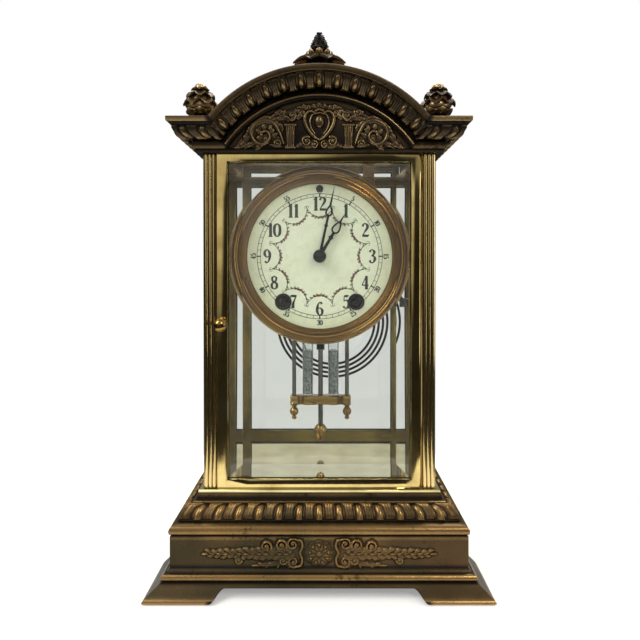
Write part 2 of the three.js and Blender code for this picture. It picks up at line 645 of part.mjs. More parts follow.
function anchor() {
  const pallets = [
    [0, 2.2], [6, 1.6], [10.6, -3], [10.8, -6.5], [8.9, -6.5], [8, -3.4], [5, -1.6], [0, -2],
  ];
  const fork = [2.4, 3.9];
  return join(
    longArbor(10),
    sheetXZ(points([...pallets, ...mirrored(pallets).slice(1, -1)]), -25, -21.5),
    block(-1.2, 1.2, 8, 10, -30, 1.2),
    block(-fork[1], fork[1], 8, 10, -30, -26),
    block(fork[0], fork[1], 8, PENDULUM_Y + 4, -30, -26),
    block(-fork[1], -fork[0], 8, PENDULUM_Y + 4, -30, -26),
  );
}
addWheel('anchor', ANCHOR, anchor(), steel());

// The arm leans out to the right, and its head stands just outside the gong's outer turn.
function hammer() {
  const arm = points([[-1.6, 1.6], [1.6, 1.6], [20, -23.5], [20, -26.5], [17, -26.5], [-1.6, -1.6]]);
  const head = new THREE.CylinderGeometry(4, 4, 8, 10).rotateZ(Math.PI / 2).translate(18.6, GONG_Y, -25);
  return join(
    longArbor(9),
    sheetXZ(arm, 6, 9),
    rodY(1.2, 7, GONG_Y, 18.5, -25),
    head,
  );
}
addWheel('hammer', HAMMER, hammer(), brass());

// ---- gong: a flat spiral of wire wound from the clamp inwards ------------------------------
const GONG = { x: 9.5, z: 171, radius: 49.9, turns: 3.75, pitch: 3.8, startAngle: 42.5, wire: 1.1 };
class Spiral extends THREE.Curve {
  getPoint(t) {
    const angle = THREE.MathUtils.degToRad(GONG.startAngle) - t * GONG.turns * 2 * Math.PI;
    const radius = GONG.radius - t * GONG.turns * GONG.pitch;
    const x = GONG.x + radius * Math.cos(angle);
    return new THREE.Vector3(x, GONG_Y, GONG.z + radius * Math.sin(angle));
  }
}
const wire = new THREE.ExtrudeGeometry(new THREE.Shape(circle(GONG.wire, 6)), {
  steps: 56, extrudePath: new Spiral(), bevelEnabled: false,
});
add('gong_coil', weld(wire), blackSteel());

// ---- pendulum -------------------------------------------------------------------------
add('suspension_cock', join(
  block(-8, 8, BACK_PLATE[1] + GAP, 4.3, 270.6, 281), block(-4, 4, 3, PENDULUM_Y + 5, 270.6, 275),
), brass());

const ROD_RADIUS = 2;
const ROD_TOP = 262;
const BAR_BOTTOM = 104;
const BAR_TOP = 111.7;
const TOP_BAR = [169, 175];
const SIDE_ROD_X = 22.3;
const SIDE_ROD_RADIUS = 1.7;
const VIAL_X = 10.8;
function pendulumBar(half, depth, z0, z1, drilled) {
  const drill = ([x, radius]) => rodZ(radius + GAP, z0 - 1, z1 + 1, x, PENDULUM_Y, 12);
  const bar = block(-half, half, PENDULUM_Y - depth, PENDULUM_Y + depth, z0, z1);
  return cut(bar, ...drilled.map(drill));
}
function sideRod(x) {
  return turnedZ([
    [0, 91], [1.6, 91.6], [2.2, 93.4], [1.5, 95.4], [3.7, 98], [3.7, 100.4], [2, 102.4],
    [2, BAR_BOTTOM - GAP], [SIDE_ROD_RADIUS, BAR_BOTTOM - GAP],
    [SIDE_ROD_RADIUS, TOP_BAR[0] + 1], [0, TOP_BAR[0] + 1],
  ], 10).translate(x, PENDULUM_Y, 0);
}
const rodHole = [0, ROD_RADIUS];
const sideRodHoles = [[-SIDE_ROD_X, SIDE_ROD_RADIUS], [SIDE_ROD_X, SIDE_ROD_RADIUS]];
const topBar = pendulumBar(25.5, 3.2, ...TOP_BAR, [rodHole]);
const bottomBar = pendulumBar(26, 5, BAR_BOTTOM, BAR_TOP, [rodHole, ...sideRodHoles]);
const pendulumRod = join(
  rodZ(ROD_RADIUS, 84, ROD_TOP, 0, PENDULUM_Y, 12),
  block(-3.4, 3.4, PENDULUM_Y - 3, PENDULUM_Y + 3, 150, 156.5),
);
const spring = block(-0.2, 0.2, PENDULUM_Y - 2.5, PENDULUM_Y + 2.5, ROD_TOP + GAP, 270.3);
add('suspension_spring', spring, steel());
add('pendulum_rod', pendulumRod, steel());
add('pendulum_frame', join(topBar, sideRod(-SIDE_ROD_X), sideRod(SIDE_ROD_X)), steel());
add('pendulum_bottom_bar', bottomBar, brass());
for (const [side, sx] of [['left', -1], ['right', 1]]) {
  add(`mercury_vial_${side}`, rodZ(4.5, 112, 162, sx * VIAL_X, PENDULUM_Y, 14), clearGlass());
}
const RATING_NUT = [
  [ROD_RADIUS + 0.4, 86.6], [3.2, 86.6], [5.5, 83.6], [5.5, 78.8], [3.4, 75.6], [2.6, 73.4], [0, 72],
  [0, 83.4], [ROD_RADIUS + 0.4, 83.4], [ROD_RADIUS + 0.4, 86.6],
];
add('rating_nut', turnedZ(RATING_NUT, 14).translate(0, PENDULUM_Y, 0), brass());

export default clock;
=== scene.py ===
import json
import math

import bmesh
import bpy
import numpy as np
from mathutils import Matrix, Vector

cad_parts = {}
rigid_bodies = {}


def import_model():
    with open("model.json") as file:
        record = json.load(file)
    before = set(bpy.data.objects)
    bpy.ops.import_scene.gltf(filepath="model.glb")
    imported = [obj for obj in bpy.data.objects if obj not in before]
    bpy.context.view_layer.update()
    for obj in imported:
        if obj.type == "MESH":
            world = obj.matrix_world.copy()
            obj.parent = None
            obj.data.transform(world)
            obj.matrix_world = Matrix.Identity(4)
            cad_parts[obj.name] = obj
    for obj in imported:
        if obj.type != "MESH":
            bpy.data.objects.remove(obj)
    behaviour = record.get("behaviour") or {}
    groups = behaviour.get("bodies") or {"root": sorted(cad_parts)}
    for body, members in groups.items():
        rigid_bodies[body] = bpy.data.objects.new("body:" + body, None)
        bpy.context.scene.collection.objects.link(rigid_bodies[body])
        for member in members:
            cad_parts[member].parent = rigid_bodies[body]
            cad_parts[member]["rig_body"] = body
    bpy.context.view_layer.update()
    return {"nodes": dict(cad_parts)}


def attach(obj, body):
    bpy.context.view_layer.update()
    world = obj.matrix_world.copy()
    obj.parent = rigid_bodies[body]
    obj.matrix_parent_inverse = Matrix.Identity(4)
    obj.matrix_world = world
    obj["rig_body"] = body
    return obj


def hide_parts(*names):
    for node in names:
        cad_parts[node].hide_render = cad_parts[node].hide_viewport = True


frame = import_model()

MM = 0.001

# ---- driving dimensions ---------------------------------------------------------------
INSET = 12.5  # mouldings: half depth = half width - INSET
PLINTH_FACE = 100.2
GLAZING = (64.4, 298.2)
POST_CENTRE = (76.7, 64.2)
POST_HALF = 4.8
ARCH_Z = 258.5
TYMPANUM_Y = -73.2
TYMPANUM_Z = 299.3
MITRE_LOW = (63.1, 300.8)
MITRE_HIGH = (74.0, 319.7)
DIAL_Z = 227.2
DIAL_FACE = -47.2
WINDING = (26.7, -33.3)
DOOR_Y = 66.5
DOOR_OPENING = (64.1, 70.6, 292.5)  # half width, bottom, top
DOOR_OUTSIDE = (71.6, 64.7, 297.9)
LEAF_HALF = 2.5
HINGE_X = 69.1
FINIAL = (82.0, 72.0)
KNOB_X = -67.85
KNOB_Z = {"front": 179.4, "rear": 187.0}
PENDULUM_Y = 20.0
ROD_X = 22.3  # pendulum's side rods
VIAL_X = 10.8
ENDS = (("front", -1), ("rear", 1))
FLANKS = (("left", -1), ("right", 1))

# movement: axes as (x, z) from the middle of the dial, plates as (front, back), radii of shafts
TIME_AXIS = (WINDING[0], WINDING[1])
STRIKE_AXIS = (-WINDING[0], WINDING[1])
CENTRE = (0, 0)
SECOND = (12.1, -15.1)
THIRD = (15.0, 14.4)
ESCAPE = (0, 24.0)
ANCHOR = (0, 38.8)
STRIKE_SECOND = (-12.1, -15.1)
FLY = (-28.8, -9.0)
MINUTE = (-8.7, 8.7)
HAMMER = (44.0, -14.0)
PILLARS = [(0, -51.0), (47.9, 17.4), (-47.9, 17.4)]
FRONT_PLATE = (-38.0, -36.0)
BACK_PLATE = (0.0, 2.0)
PIVOT = 0.8
SHAFT = 1.2

# surroundings, in metres: greys of the room by height from below (0) to above (1), and the camera
ROOM_GREYS = [(0.0, 0.3), (0.3, 0.13), (0.36, 0.03), (0.5, 0.02), (0.58, 0.04), (0.6, 0.3), (0.72, 0.36),
              (1.0, 0.9)]
WINDOW_TOWARDS = (-0.22, -0.94, 0.16)
WINDOW_EDGE = (0.955, 0.998)  # cosines off its middle, where it starts and where it is whole
WINDOW_SHARE = 0.75
WINDOW_COLOUR = (0.95, 0.93, 0.86, 1)
WALL_COLOUR = (0.74, 0.74, 0.71, 1)
CAMERA_AT = (0.0046, -0.491, 0.2179)
CAMERA_LENS = 34.0
CAMERA_SHIFT = (-0.0094, -0.0698)
CAMERA_DIP = 0.6  # degrees


# ---- colour and materials ---------------------------------------------------------------
def rgb(code):
    """A hex colour as linear RGBA."""
    channels = [int(code[i:i + 2], 16) / 255 for i in (0, 2, 4)]
    return [c / 12.92 if c <= 0.04045 else ((c + 0.055) / 1.055) ** 2.4 for c in channels] + [1]


MIX_COLOURS = (6, 7)  # a mix node has a pair of inputs for every data type; these are the colours
MIX_RESULT = 2


class Nodes:
    """A material's node tree with short ways to add and link nodes."""

    def __init__(self, name):
        self.material = bpy.data.materials.new(name)
        self.material.use_nodes = True
        self.tree = self.material.node_tree
        self.shader = self.tree.nodes["Principled BSDF"]
        self.position = self.add("ShaderNodeTexCoord").outputs["Object"]

    def add(self, kind, **settings):
        node = self.tree.nodes.new(kind)
        for key, value in settings.items():
            setattr(node, key, value)
        return node

    def link(self, output, socket):
        self.tree.links.new(output, socket)

    def put(self, value, socket):
        """Links an output, or sets a plain value."""
        if isinstance(value, bpy.types.NodeSocket):
            self.link(value, socket)
        else:
            socket.default_value = value

    def stretched(self, x, y, z):
        node = self.add("ShaderNodeMapping")
        node.inputs["Scale"].default_value = (x, y, z)
        self.link(self.position, node.inputs["Vector"])
        return node.outputs["Vector"]

    def noise(self, per_metre, detail=4.0, rough=0.6, where=None):
        node = self.add("ShaderNodeTexNoise")
        node.inputs["Scale"].default_value = per_metre
        node.inputs["Detail"].default_value = detail
        node.inputs["Roughness"].default_value = rough
        self.link(where or self.position, node.inputs["Vector"])
        return node.outputs["Fac"]

    def ramp(self, value, stops):
        """Stops are (place, colour or grey)."""
        node = self.add("ShaderNodeValToRGB")
        elements = node.color_ramp.elements
        while len(elements) < len(stops):
            elements.new(0.5)
        for element, (place, colour) in zip(elements, stops):
            element.position = place
            element.color = colour if isinstance(colour, list) else [colour] * 3 + [1]
        self.link(value, node.inputs["Fac"])
        return node.outputs["Color"]

    def mix(self, share, a, b):
        node = self.add("ShaderNodeMix", data_type="RGBA")
        self.put(share, node.inputs[0])
        self.put(a, node.inputs[MIX_COLOURS[0]])
        self.put(b, node.inputs[MIX_COLOURS[1]])
        return node.outputs[MIX_RESULT]

    def math(self, operation, a, b=0.0, clamp=False):
        node = self.add("ShaderNodeMath", operation=operation, use_clamp=clamp)
        self.put(a, node.inputs[0])
        self.put(b, node.inputs[1])
        return node.outputs["Value"]

    def tone(self):
        """How high a point stands over its surroundings: 0 in a recess, 1 on a crest."""
        return self.add("ShaderNodeAttribute", attribute_name="tone").outputs["Fac"]

    def bump(self, height, strength, distance_mm):
        node = self.add("ShaderNodeBump")
        node.inputs["Strength"].default_value = strength
        node.inputs["Distance"].default_value = distance_mm * MM
        self.link(height, node.inputs["Height"])
        self.link(node.outputs["Normal"], self.shader.inputs["Normal"])

    def finish(self, colour, rough, metallic=1.0):
        self.put(colour, self.shader.inputs["Base Color"])
        self.put(rough, self.shader.inputs["Roughness"])
        self.shader.inputs["Metallic"].default_value = metallic
        return self.material


def cast_metal(name, recess, middle, crest, rough, wear, copper=0.0):
    """Old cast bronze, specked and stained: patina and painted shade in recesses, wear and painted highlight
    on crests.

    copper is how far its red metal shows through in patches.
    """
    n = Nodes(name)
    patches = n.noise(22, 5)
    grain = n.noise(900, 3)
    shade = n.math("ADD", n.tone(), n.math("MULTIPLY", n.math("SUBTRACT", patches, 0.5), wear))
    shade = n.math("ADD", shade, n.math("MULTIPLY", n.math("SUBTRACT", grain, 0.5), 0.25), clamp=True)
    # the ramp paints shade in the recesses and a highlight on the crests, over the patina and wear
    colour = n.ramp(shade, [(0.12, recess), (0.5, middle), (0.95, crest)])
    rubbed = n.math("MULTIPLY", n.noise(14, 3), n.math("ADD", shade, 0.5))
    bare = n.ramp(rubbed, [(0.42, 0.0), (0.62, copper)])
    colour = n.mix(bare, colour, rgb("9c6137"))
    specks = n.ramp(n.math("MULTIPLY", n.noise(420, 2), n.noise(60, 2)), [(0.36, 0.0), (0.42, 1.0)])
    colour = n.mix(n.math("MULTIPLY", specks, 0.6), colour, recess)
    n.bump(n.math("ADD", n.noise(260, 4), n.math("MULTIPLY", grain, 0.4)), 0.35, 0.25)
    roughness = n.ramp(shade, [(0.1, rough[1]), (0.9, rough[0])])
    return n.finish(colour, roughness, 0.78)


def polished_metal(name, colour, stain, rough=(0.1, 0.3), brushed=(1, 1, 1)):
    """Polished brass with faint stains, fine scratches along one way and a slightly wavy face."""
    n = Nodes(name)
    scratches = n.noise(1400, 2, 0.5, n.stretched(*brushed))
    stains = n.noise(35, 5)
    share = n.ramp(n.math("ADD", n.math("MULTIPLY", stains, 0.85), n.math("MULTIPLY", scratches, 0.15)),
                   [(0.42, 0.0), (0.72, 1.0)])
    n.bump(n.math("ADD", n.noise(28, 2), n.math("MULTIPLY", scratches, 0.05)), 0.05, 0.5)
    roughness = n.ramp(n.math("ADD", n.math("MULTIPLY", scratches, 0.4), n.math("MULTIPLY", stains, 0.6)),
                       [(0.3, rough[0]), (0.75, rough[1])])
    return n.finish(n.mix(share, colour, stain), roughness)


def reeded_metal(name, groove, colour, crest, wear=0.5, rough=(0.12, 0.42)):
    """Brass with a painted highlight on its reeds, nearly black in the grooves from old polish and painted
    shade.
    """
    n = Nodes(name)
    stains = n.noise(30, 5)
    shade = n.math("ADD", n.tone(), n.math("MULTIPLY", n.math("SUBTRACT", stains, 0.5), wear), clamp=True)
    n.bump(n.noise(400, 3), 0.12, 0.1)
    return n.finish(n.ramp(shade, [(0.2, groove), (0.55, colour), (0.95, crest)]),
                    n.ramp(shade, [(0.3, rough[1]), (0.9, rough[0])]))


def black_metal(name, colour, edge):
    n = Nodes(name)
    worn = n.ramp(n.noise(160, 4), [(0.5, 0.0), (0.8, 1.0)])
    n.bump(n.noise(500, 3), 0.2, 0.1)
    return n.finish(n.mix(worn, colour, edge), n.ramp(n.noise(90), [(0.3, 0.28), (0.7, 0.5)]), 0.6)


def porcelain():
    """Ivory enamel, a little yellower towards the rim, with faint crazing."""
    n = Nodes("porcelain")
    centre = n.add("ShaderNodeVectorMath", operation="DISTANCE")
    n.link(n.position, centre.inputs[0])
    centre.inputs[1].default_value = (0, DIAL_FACE * MM, DIAL_Z * MM)
    rim = n.ramp(n.math("MULTIPLY", centre.outputs["Value"], 1 / 0.0545), [(0.75, 0.0), (1.0, 1.0)])
    stains = n.ramp(n.noise(40, 4), [(0.45, 0.0), (0.8, 1.0)])
    colour = n.mix(n.math("MULTIPLY", stains, 0.35), rgb("d9dcc3"), rgb("cac79f"))
    colour = n.mix(n.math("MULTIPLY", rim, 0.6), colour, rgb("b9b78c"))
    n.bump(n.noise(60, 3), 0.05, 0.3)
    n.shader.inputs["Coat Weight"].default_value = 0.6
    n.shader.inputs["Coat Roughness"].default_value = 0.08
    return n.finish(colour, n.ramp(n.noise(200), [(0.3, 0.22), (0.7, 0.34)]), 0.0)


def ink(name, colour, other):
    n = Nodes(name)
    roughness = n.ramp(n.noise(300), [(0.3, 0.3), (0.7, 0.5)])
    return n.finish(n.mix(n.noise(500, 3), colour, other), roughness, 0.0)


def clear_glass(name, tint):
    """Glass that lets lamps through, with faint smears on it."""
    n = Nodes(name)
    smears = n.noise(25, 4)
    n.shader.inputs["Transmission Weight"].default_value = 1
    n.shader.inputs["IOR"].default_value = 1.48
    n.shader.inputs["Specular IOR Level"].default_value = 0.15
    material = n.finish(n.mix(smears, tint, rgb("ffffff")), n.ramp(smears, [(0.4, 0.0), (0.9, 0.03)]), 0.0)
    lamp = n.add("ShaderNodeLightPath").outputs["Is Shadow Ray"]
    through = n.add("ShaderNodeBsdfTransparent")
    through.inputs["Color"].default_value = rgb("eef2ee")
    choose = n.add("ShaderNodeMixShader")
    n.link(lamp, choose.inputs["Fac"])
    n.link(n.shader.outputs["BSDF"], choose.inputs[1])
    n.link(through.outputs["BSDF"], choose.inputs[2])
    n.link(choose.outputs["Shader"], n.tree.nodes["Material Output"].inputs["Surface"])
    return material


def mercury():
    n = Nodes("mercury")
    grain = n.noise(700, 3)
    n.bump(grain, 0.5, 0.2)
    return n.finish(n.ramp(grain, [(0.35, rgb("48494a")), (0.65, rgb("a3a5a6"))]),
                    n.ramp(grain, [(0.3, 0.3), (0.7, 0.5)]), 0.7)


def plain_floor():
    n = Nodes("pale_floor")
    cloud = n.noise(3, 3)
    n.shader.inputs["Emission Color"].default_value = (1, 1, 1, 1)
    n.shader.inputs["Emission Strength"].default_value = 0.3
    colour = n.ramp(cloud, [(0.3, rgb("efefec")), (0.7, rgb("f6f6f3"))])
    return n.finish(colour, n.ramp(cloud, [(0.3, 0.75), (0.7, 0.85)]), 0.0)


BRONZE = cast_metal("cast_bronze", rgb("171109"), rgb("423822"), rgb("947848"), (0.24, 0.5), 0.5, copper=0.1)
DARK_BRONZE = cast_metal("dark_bronze", rgb("0e0a06"), rgb("3e3222"), rgb("8b734d"), (0.22, 0.45), 0.45)
BUD_BRONZE = cast_metal("bud_bronze", rgb("2a1f12"), rgb("8a7048"), rgb("d4bb8c"), (0.28, 0.48), 0.6)
CONE_BRONZE = cast_metal("cone_bronze", rgb("060504"), rgb("15120e"), rgb("4a4236"), (0.3, 0.5), 0.4)
BRASS = polished_metal("polished_brass", rgb("e0c987"), rgb("a98e54"), (0.04, 0.14), (1, 1, 0.06))
# a darker copy of the polished brass for the rear door and the rails inside the case: painted shade
SHADED_BRASS = polished_metal("shaded_brass", rgb("94834c"), rgb("5f522c"), brushed=(0.06, 1, 1))
BRASS_WORKS = polished_metal("brass_works", rgb("b0925a"), rgb("735a33"), (0.18, 0.4), (0.05, 1, 1))
FLOOR_BRASS = polished_metal("floor_brass", rgb("d8ce9c"), rgb("b3a570"), (0.03, 0.09), (0.05, 1, 1))
COPPER_BRASS = reeded_metal("copper_brass", rgb("1e1508"), rgb("94703a"), rgb("eccb80"), 0.08,
                            rough=(0.07, 0.26))
STEEL = polished_metal("satin_steel", rgb("66665f"), rgb("3d3b35"), (0.22, 0.45), (1, 1, 0.05))
BRASS_POST = reeded_metal("reeded_brass", rgb("241b0b"), rgb("93783f"), rgb("dcc488"))
BRASS_KNOB = polished_metal("knob_brass", rgb("9a7d46"), rgb("6a5029"), (0.07, 0.16))
BRASS_BAR = polished_metal("bar_brass", rgb("a0864c"), rgb("6b562c"), (0.08, 0.2))
# near-black for the strip round the door glass: a painted shadow along its edge
SHADOW_LINE_BLACK = black_metal("shadow_line_black", rgb("191409"), rgb("33290f"))
BLACK = black_metal("blued_black", rgb("08080a"), rgb("1c1b1d"))
BLACK_NUT = black_metal("nut_black", rgb("121214"), rgb("2c2a28"))
GLASS = clear_glass("clear_glass", rgb("f2f7f4"))
VIAL_GLASS = clear_glass("vial_glass", rgb("dfe6e2"))
PORCELAIN = porcelain()
NUMERAL_INK = ink("numeral_ink", rgb("14150f"), rgb("26271e"))
TRACK_INK = ink("track_ink", rgb("34382c"), rgb("25281f"))
VINE_INK = ink("vine_ink", rgb("566246"), rgb("3d4733"))
ROSE_INK = ink("rose_ink", rgb("cf8f80"), rgb("b16e63"))
MERCURY = mercury()
FLOOR = plain_floor()


# ---- meshes -----------------------------------------------------------------------------
def weld(mesh, drop_slivers):
    """Merges points that lie together and turns every face outwards; distances are in metres."""
    bm = bmesh.new()
    bm.from_mesh(mesh)
    bmesh.ops.remove_doubles(bm, verts=bm.verts, dist=2e-6)
    if drop_slivers:
        bmesh.ops.dissolve_degenerate(bm, edges=bm.edges, dist=1e-7)
    bmesh.ops.recalc_face_normals(bm, faces=bm.faces)
    bm.to_mesh(mesh)
    bm.free()


def build(name, shapes, material, body="case", replaces=(), sharp=32, merge=True):
    """One object from shapes, each (points in mm, faces, tone per point or a number)."""
    points, faces, tones = [], [], []
    for shape_points, shape_faces, tone in shapes:
        start = len(points)
        points.extend(map(tuple, np.asarray(shape_points) * MM))
        faces.extend([tuple(start + i for i in face) for face in shape_faces])
        tones.extend(np.broadcast_to(tone, len(shape_points)).tolist())
    mesh = bpy.data.meshes.new(name)
    mesh.from_pydata(points, [], faces)
    mesh.attributes.new("tone", "FLOAT", "POINT").data.foreach_set("value", tones)
    if merge:
        weld(mesh, drop_slivers=True)
    mesh.materials.append(material)
    mesh.shade_smooth()
    mesh.set_sharp_from_angle(angle=math.radians(sharp))
    thing = bpy.data.objects.new(name, mesh)
    bpy.context.scene.collection.objects.link(thing)
    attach(thing, body)
    if replaces:
        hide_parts(*replaces)
    return thing


def skin(rows, wrap_columns=False, wrap_rows=False, caps=False, tone=0.5):
    """Quads over a grid of points; caps close the first and last row."""
    rows = np.asarray(rows, float)
    height, width = rows.shape[:2]
    faces = []
    for i in range(height if wrap_rows else height - 1):
        for j in range(width if wrap_columns else width - 1):
            a, b = i * width + j, i * width + (j + 1) % width
            c, d = ((i + 1) % height) * width + (j + 1) % width, ((i + 1) % height) * width + j
            faces.append((a, b, c, d))
    if caps:
        faces.append(tuple(range(width))[::-1])
        faces.append(tuple((height - 1) * width + j for j in range(width)))
    return rows.reshape(-1, 3), faces, tone


def spline(points, steps):
    """A smooth curve through the points."""
    p = np.asarray(points, float)
    if len(p) < 3:
        return np.array([p[0] + (p[-1] - p[0]) * i / steps for i in range(steps + 1)])
    padded = np.vstack([2 * p[0] - p[1], p, 2 * p[-1] - p[-2]])
    out = []
    for i in range(len(p) - 1):
        a, b, c, d = padded[i:i + 4]
        for k in range(steps):
            t = k / steps
            out.append(0.5 * (2 * b + (c - a) * t + (2 * a - 5 * b + 4 * c - d) * t * t
                              + (3 * b - a - 3 * c + d) * t ** 3))
    out.append(p[-1])
    return np.array(out)


def outline(*parts, steps=5):
    """A moulding's section: each part is a smooth curve, and parts meet at an edge."""
    return np.vstack([np.asarray(p, float) if len(p) < 3 else spline(p, steps) for p in parts])


def relief_tone(section, reach=2.2):
    """1 on a convex stretch of a section, 0 in a hollow: the metals paint shade and highlight from it."""
    section = np.asarray(section, float)
    steps = np.linalg.norm(np.diff(section, axis=0), axis=1)
    along = np.concatenate([[0], np.cumsum(steps)])
    before = np.array([[np.interp(s - reach, along, section[:, k]) for k in (0, 1)] for s in along])
    after = np.array([[np.interp(s + reach, along, section[:, k]) for k in (0, 1)] for s in along])
    chord = after - before
    normal = np.stack([chord[:, 1], -chord[:, 0]], 1)
    normal /= np.maximum(np.linalg.norm(normal, axis=1), 1e-9)[:, None]
    bulge = ((section - (before + after) / 2) * normal).sum(1)
    return np.clip(0.45 + bulge * 0.5, 0, 1)


def closer(section):
    """The same section with no two neighbours further apart than gap."""
    gap = 1.4
    section = np.asarray(section, float)
    out = [section[0]]
    for a, b in zip(section, section[1:]):
        steps = max(1, math.ceil(np.linalg.norm(b - a) / gap))
        out.extend(a + (b - a) * k / steps for k in range(1, steps + 1))
    return np.array(out)


def around(section):
    """A moulding mitred round the case; its section is (half width, z) going up the outside."""
    section = closer(section)
    steps = 40  # along each side

    def ring(w, z):
        corners = [(-w, -(w - INSET)), (w, -(w - INSET)), (w, w - INSET), (-w, w - INSET)]
        points = []
        for (x0, y0), (x1, y1) in zip(corners, corners[1:] + corners[:1]):
            for k in range(steps):
                t = k / steps
                points.append((x0 + (x1 - x0) * t, y0 + (y1 - y0) * t, z))
        return points
    rows = [ring(w, z) for w, z in section]
    # painted shade in the section's hollows, painted highlight on its rounds
    tone = np.repeat(relief_tone(section), 4 * steps)
    return skin(rows, wrap_columns=True, caps=True, tone=tone)


def turned(section, sides, axis="Z", at=(0, 0, 0), tone=None):
    """A turned shape: the section is (radius, height along the axis)."""
    section = np.asarray(section, float)
    angles = np.linspace(0, 2 * math.pi, sides, endpoint=False)
    rows = []
    for r, h in section:
        ring = np.stack([r * np.cos(angles), r * np.sin(angles), np.full(sides, h)], 1)
        rows.append(ring if axis == "Z" else ring[:, [0, 2, 1]])
    closed = np.allclose(section[0], section[-1])
    if closed:
        rows = rows[:-1]
    shade = np.repeat(relief_tone(section)[:len(rows)], sides) if tone is None else tone
    points, faces, shade = skin(rows, wrap_columns=True, wrap_rows=closed, tone=shade)
    return points + np.asarray(at, float), faces, shade


def tube(path, radius):
    """A round bar along an open path."""
    sides = 10
    path = np.asarray(path, float)
    ahead = np.roll(path, -1, 0) - np.roll(path, 1, 0)
    ahead[0], ahead[-1] = path[1] - path[0], path[-1] - path[-2]
    ahead /= np.linalg.norm(ahead, axis=1)[:, None]
    side = np.cross(ahead[0], (0, 0, 1) if abs(ahead[0][2]) < 0.9 else (0, 1, 0))
    angles = np.linspace(0, 2 * math.pi, sides, endpoint=False)
    rows = []
    for point, forward in zip(path, ahead):
        side = side - forward * (side @ forward)
        side /= np.linalg.norm(side)
        up = np.cross(forward, side)
        rows.append(point + radius * (np.outer(np.cos(angles), side) + np.outer(np.sin(angles), up)))
    return skin(rows, wrap_columns=True, caps=True)


def prism(flat, y0, y1):
    """A flat outline in XZ, extruded from y0 to y1."""
    flat = np.asarray(flat, float)
    rows = [np.stack([flat[:, 0], np.full(len(flat), y), flat[:, 1]], 1) for y in (y0, y1)]
    return skin(rows, wrap_columns=True, caps=True)


def ribbon(path, half_widths, y0, y1, steps, closed=False):
    """A flat stroke of changing width in XZ, from y0 to y1."""
    line = spline(list(path) + [path[0]] if closed else path, steps)
    widths = np.interp(np.linspace(0, 1, len(line)), np.linspace(0, 1, len(half_widths)), half_widths)
    ahead = np.gradient(line, axis=0)
    if closed:
        ahead[0] = ahead[-1] = line[1] - line[-2]
    ahead /= np.maximum(np.linalg.norm(ahead, axis=1), 1e-9)[:, None]
    across = np.stack([-ahead[:, 1], ahead[:, 0]], 1) * widths[:, None]
    left, right = line + across, line - across
    rows = []
    for a, b in zip(left, right):
        rows.append([(a[0], y0, a[1]), (b[0], y0, b[1]), (b[0], y1, b[1]), (a[0], y1, a[1])])
    return skin(rows[:-1] if closed else rows, wrap_columns=True, wrap_rows=closed, caps=not closed)


def block(x0, x1, y0, y1, z0, z1, soft=0.4):
    """A box with chamfered edges along its longest way."""
    size = np.array([x1 - x0, y1 - y0, z1 - z0], float)
    long = int(size.argmax())
    u, v = [k for k in range(3) if k != long]
    low = np.array([x0, y0, z0], float)
    c = min(soft, size[u] / 3, size[v] / 3)
    shape = [(c, 0), (size[u] - c, 0), (size[u], c), (size[u], size[v] - c),
             (size[u] - c, size[v]), (c, size[v]), (0, size[v] - c), (0, c)]
    centre = np.array([size[u], size[v]]) / 2
    rows = []
    for along, shrink in ((0, c), (c, 0), (size[long] - c, 0), (size[long], c)):
        row = []
        for a, b in shape:
            point = low.copy()
            pulled = [a + math.copysign(shrink, centre[0] - a), b + math.copysign(shrink, centre[1] - b)]
            point[u] += pulled[0]
            point[v] += pulled[1]
            point[long] += along
            row.append(point)
        rows.append(row)
    return skin(rows, wrap_columns=True, caps=True)


def scratch(name, shape):
    """A temporary object for cutting."""
    mesh = bpy.data.meshes.new(name)
    mesh.from_pydata([tuple(p) for p in np.asarray(shape[0]) * MM], [], shape[1])
    weld(mesh, drop_slivers=False)
    thing = bpy.data.objects.new(name, mesh)
    bpy.context.scene.collection.objects.link(thing)
    return thing


def carve(thing, *steps):
    """Applies boolean steps, each (operation, temporary object), and removes the objects."""
    for operation, other in steps:
        modifier = thing.modifiers.new("carve", "BOOLEAN")
        modifier.operation = operation
        modifier.object = other
        modifier.solver = "EXACT"
    done = thing.evaluated_get(bpy.context.evaluated_depsgraph_get())
    mesh = bpy.data.meshes.new_from_object(done)
    thing.modifiers.clear()
    thing.data = mesh
    for _, other in steps:
        bpy.data.objects.remove(other)
    mesh.shade_smooth()
    mesh.set_sharp_from_angle(angle=math.radians(32))


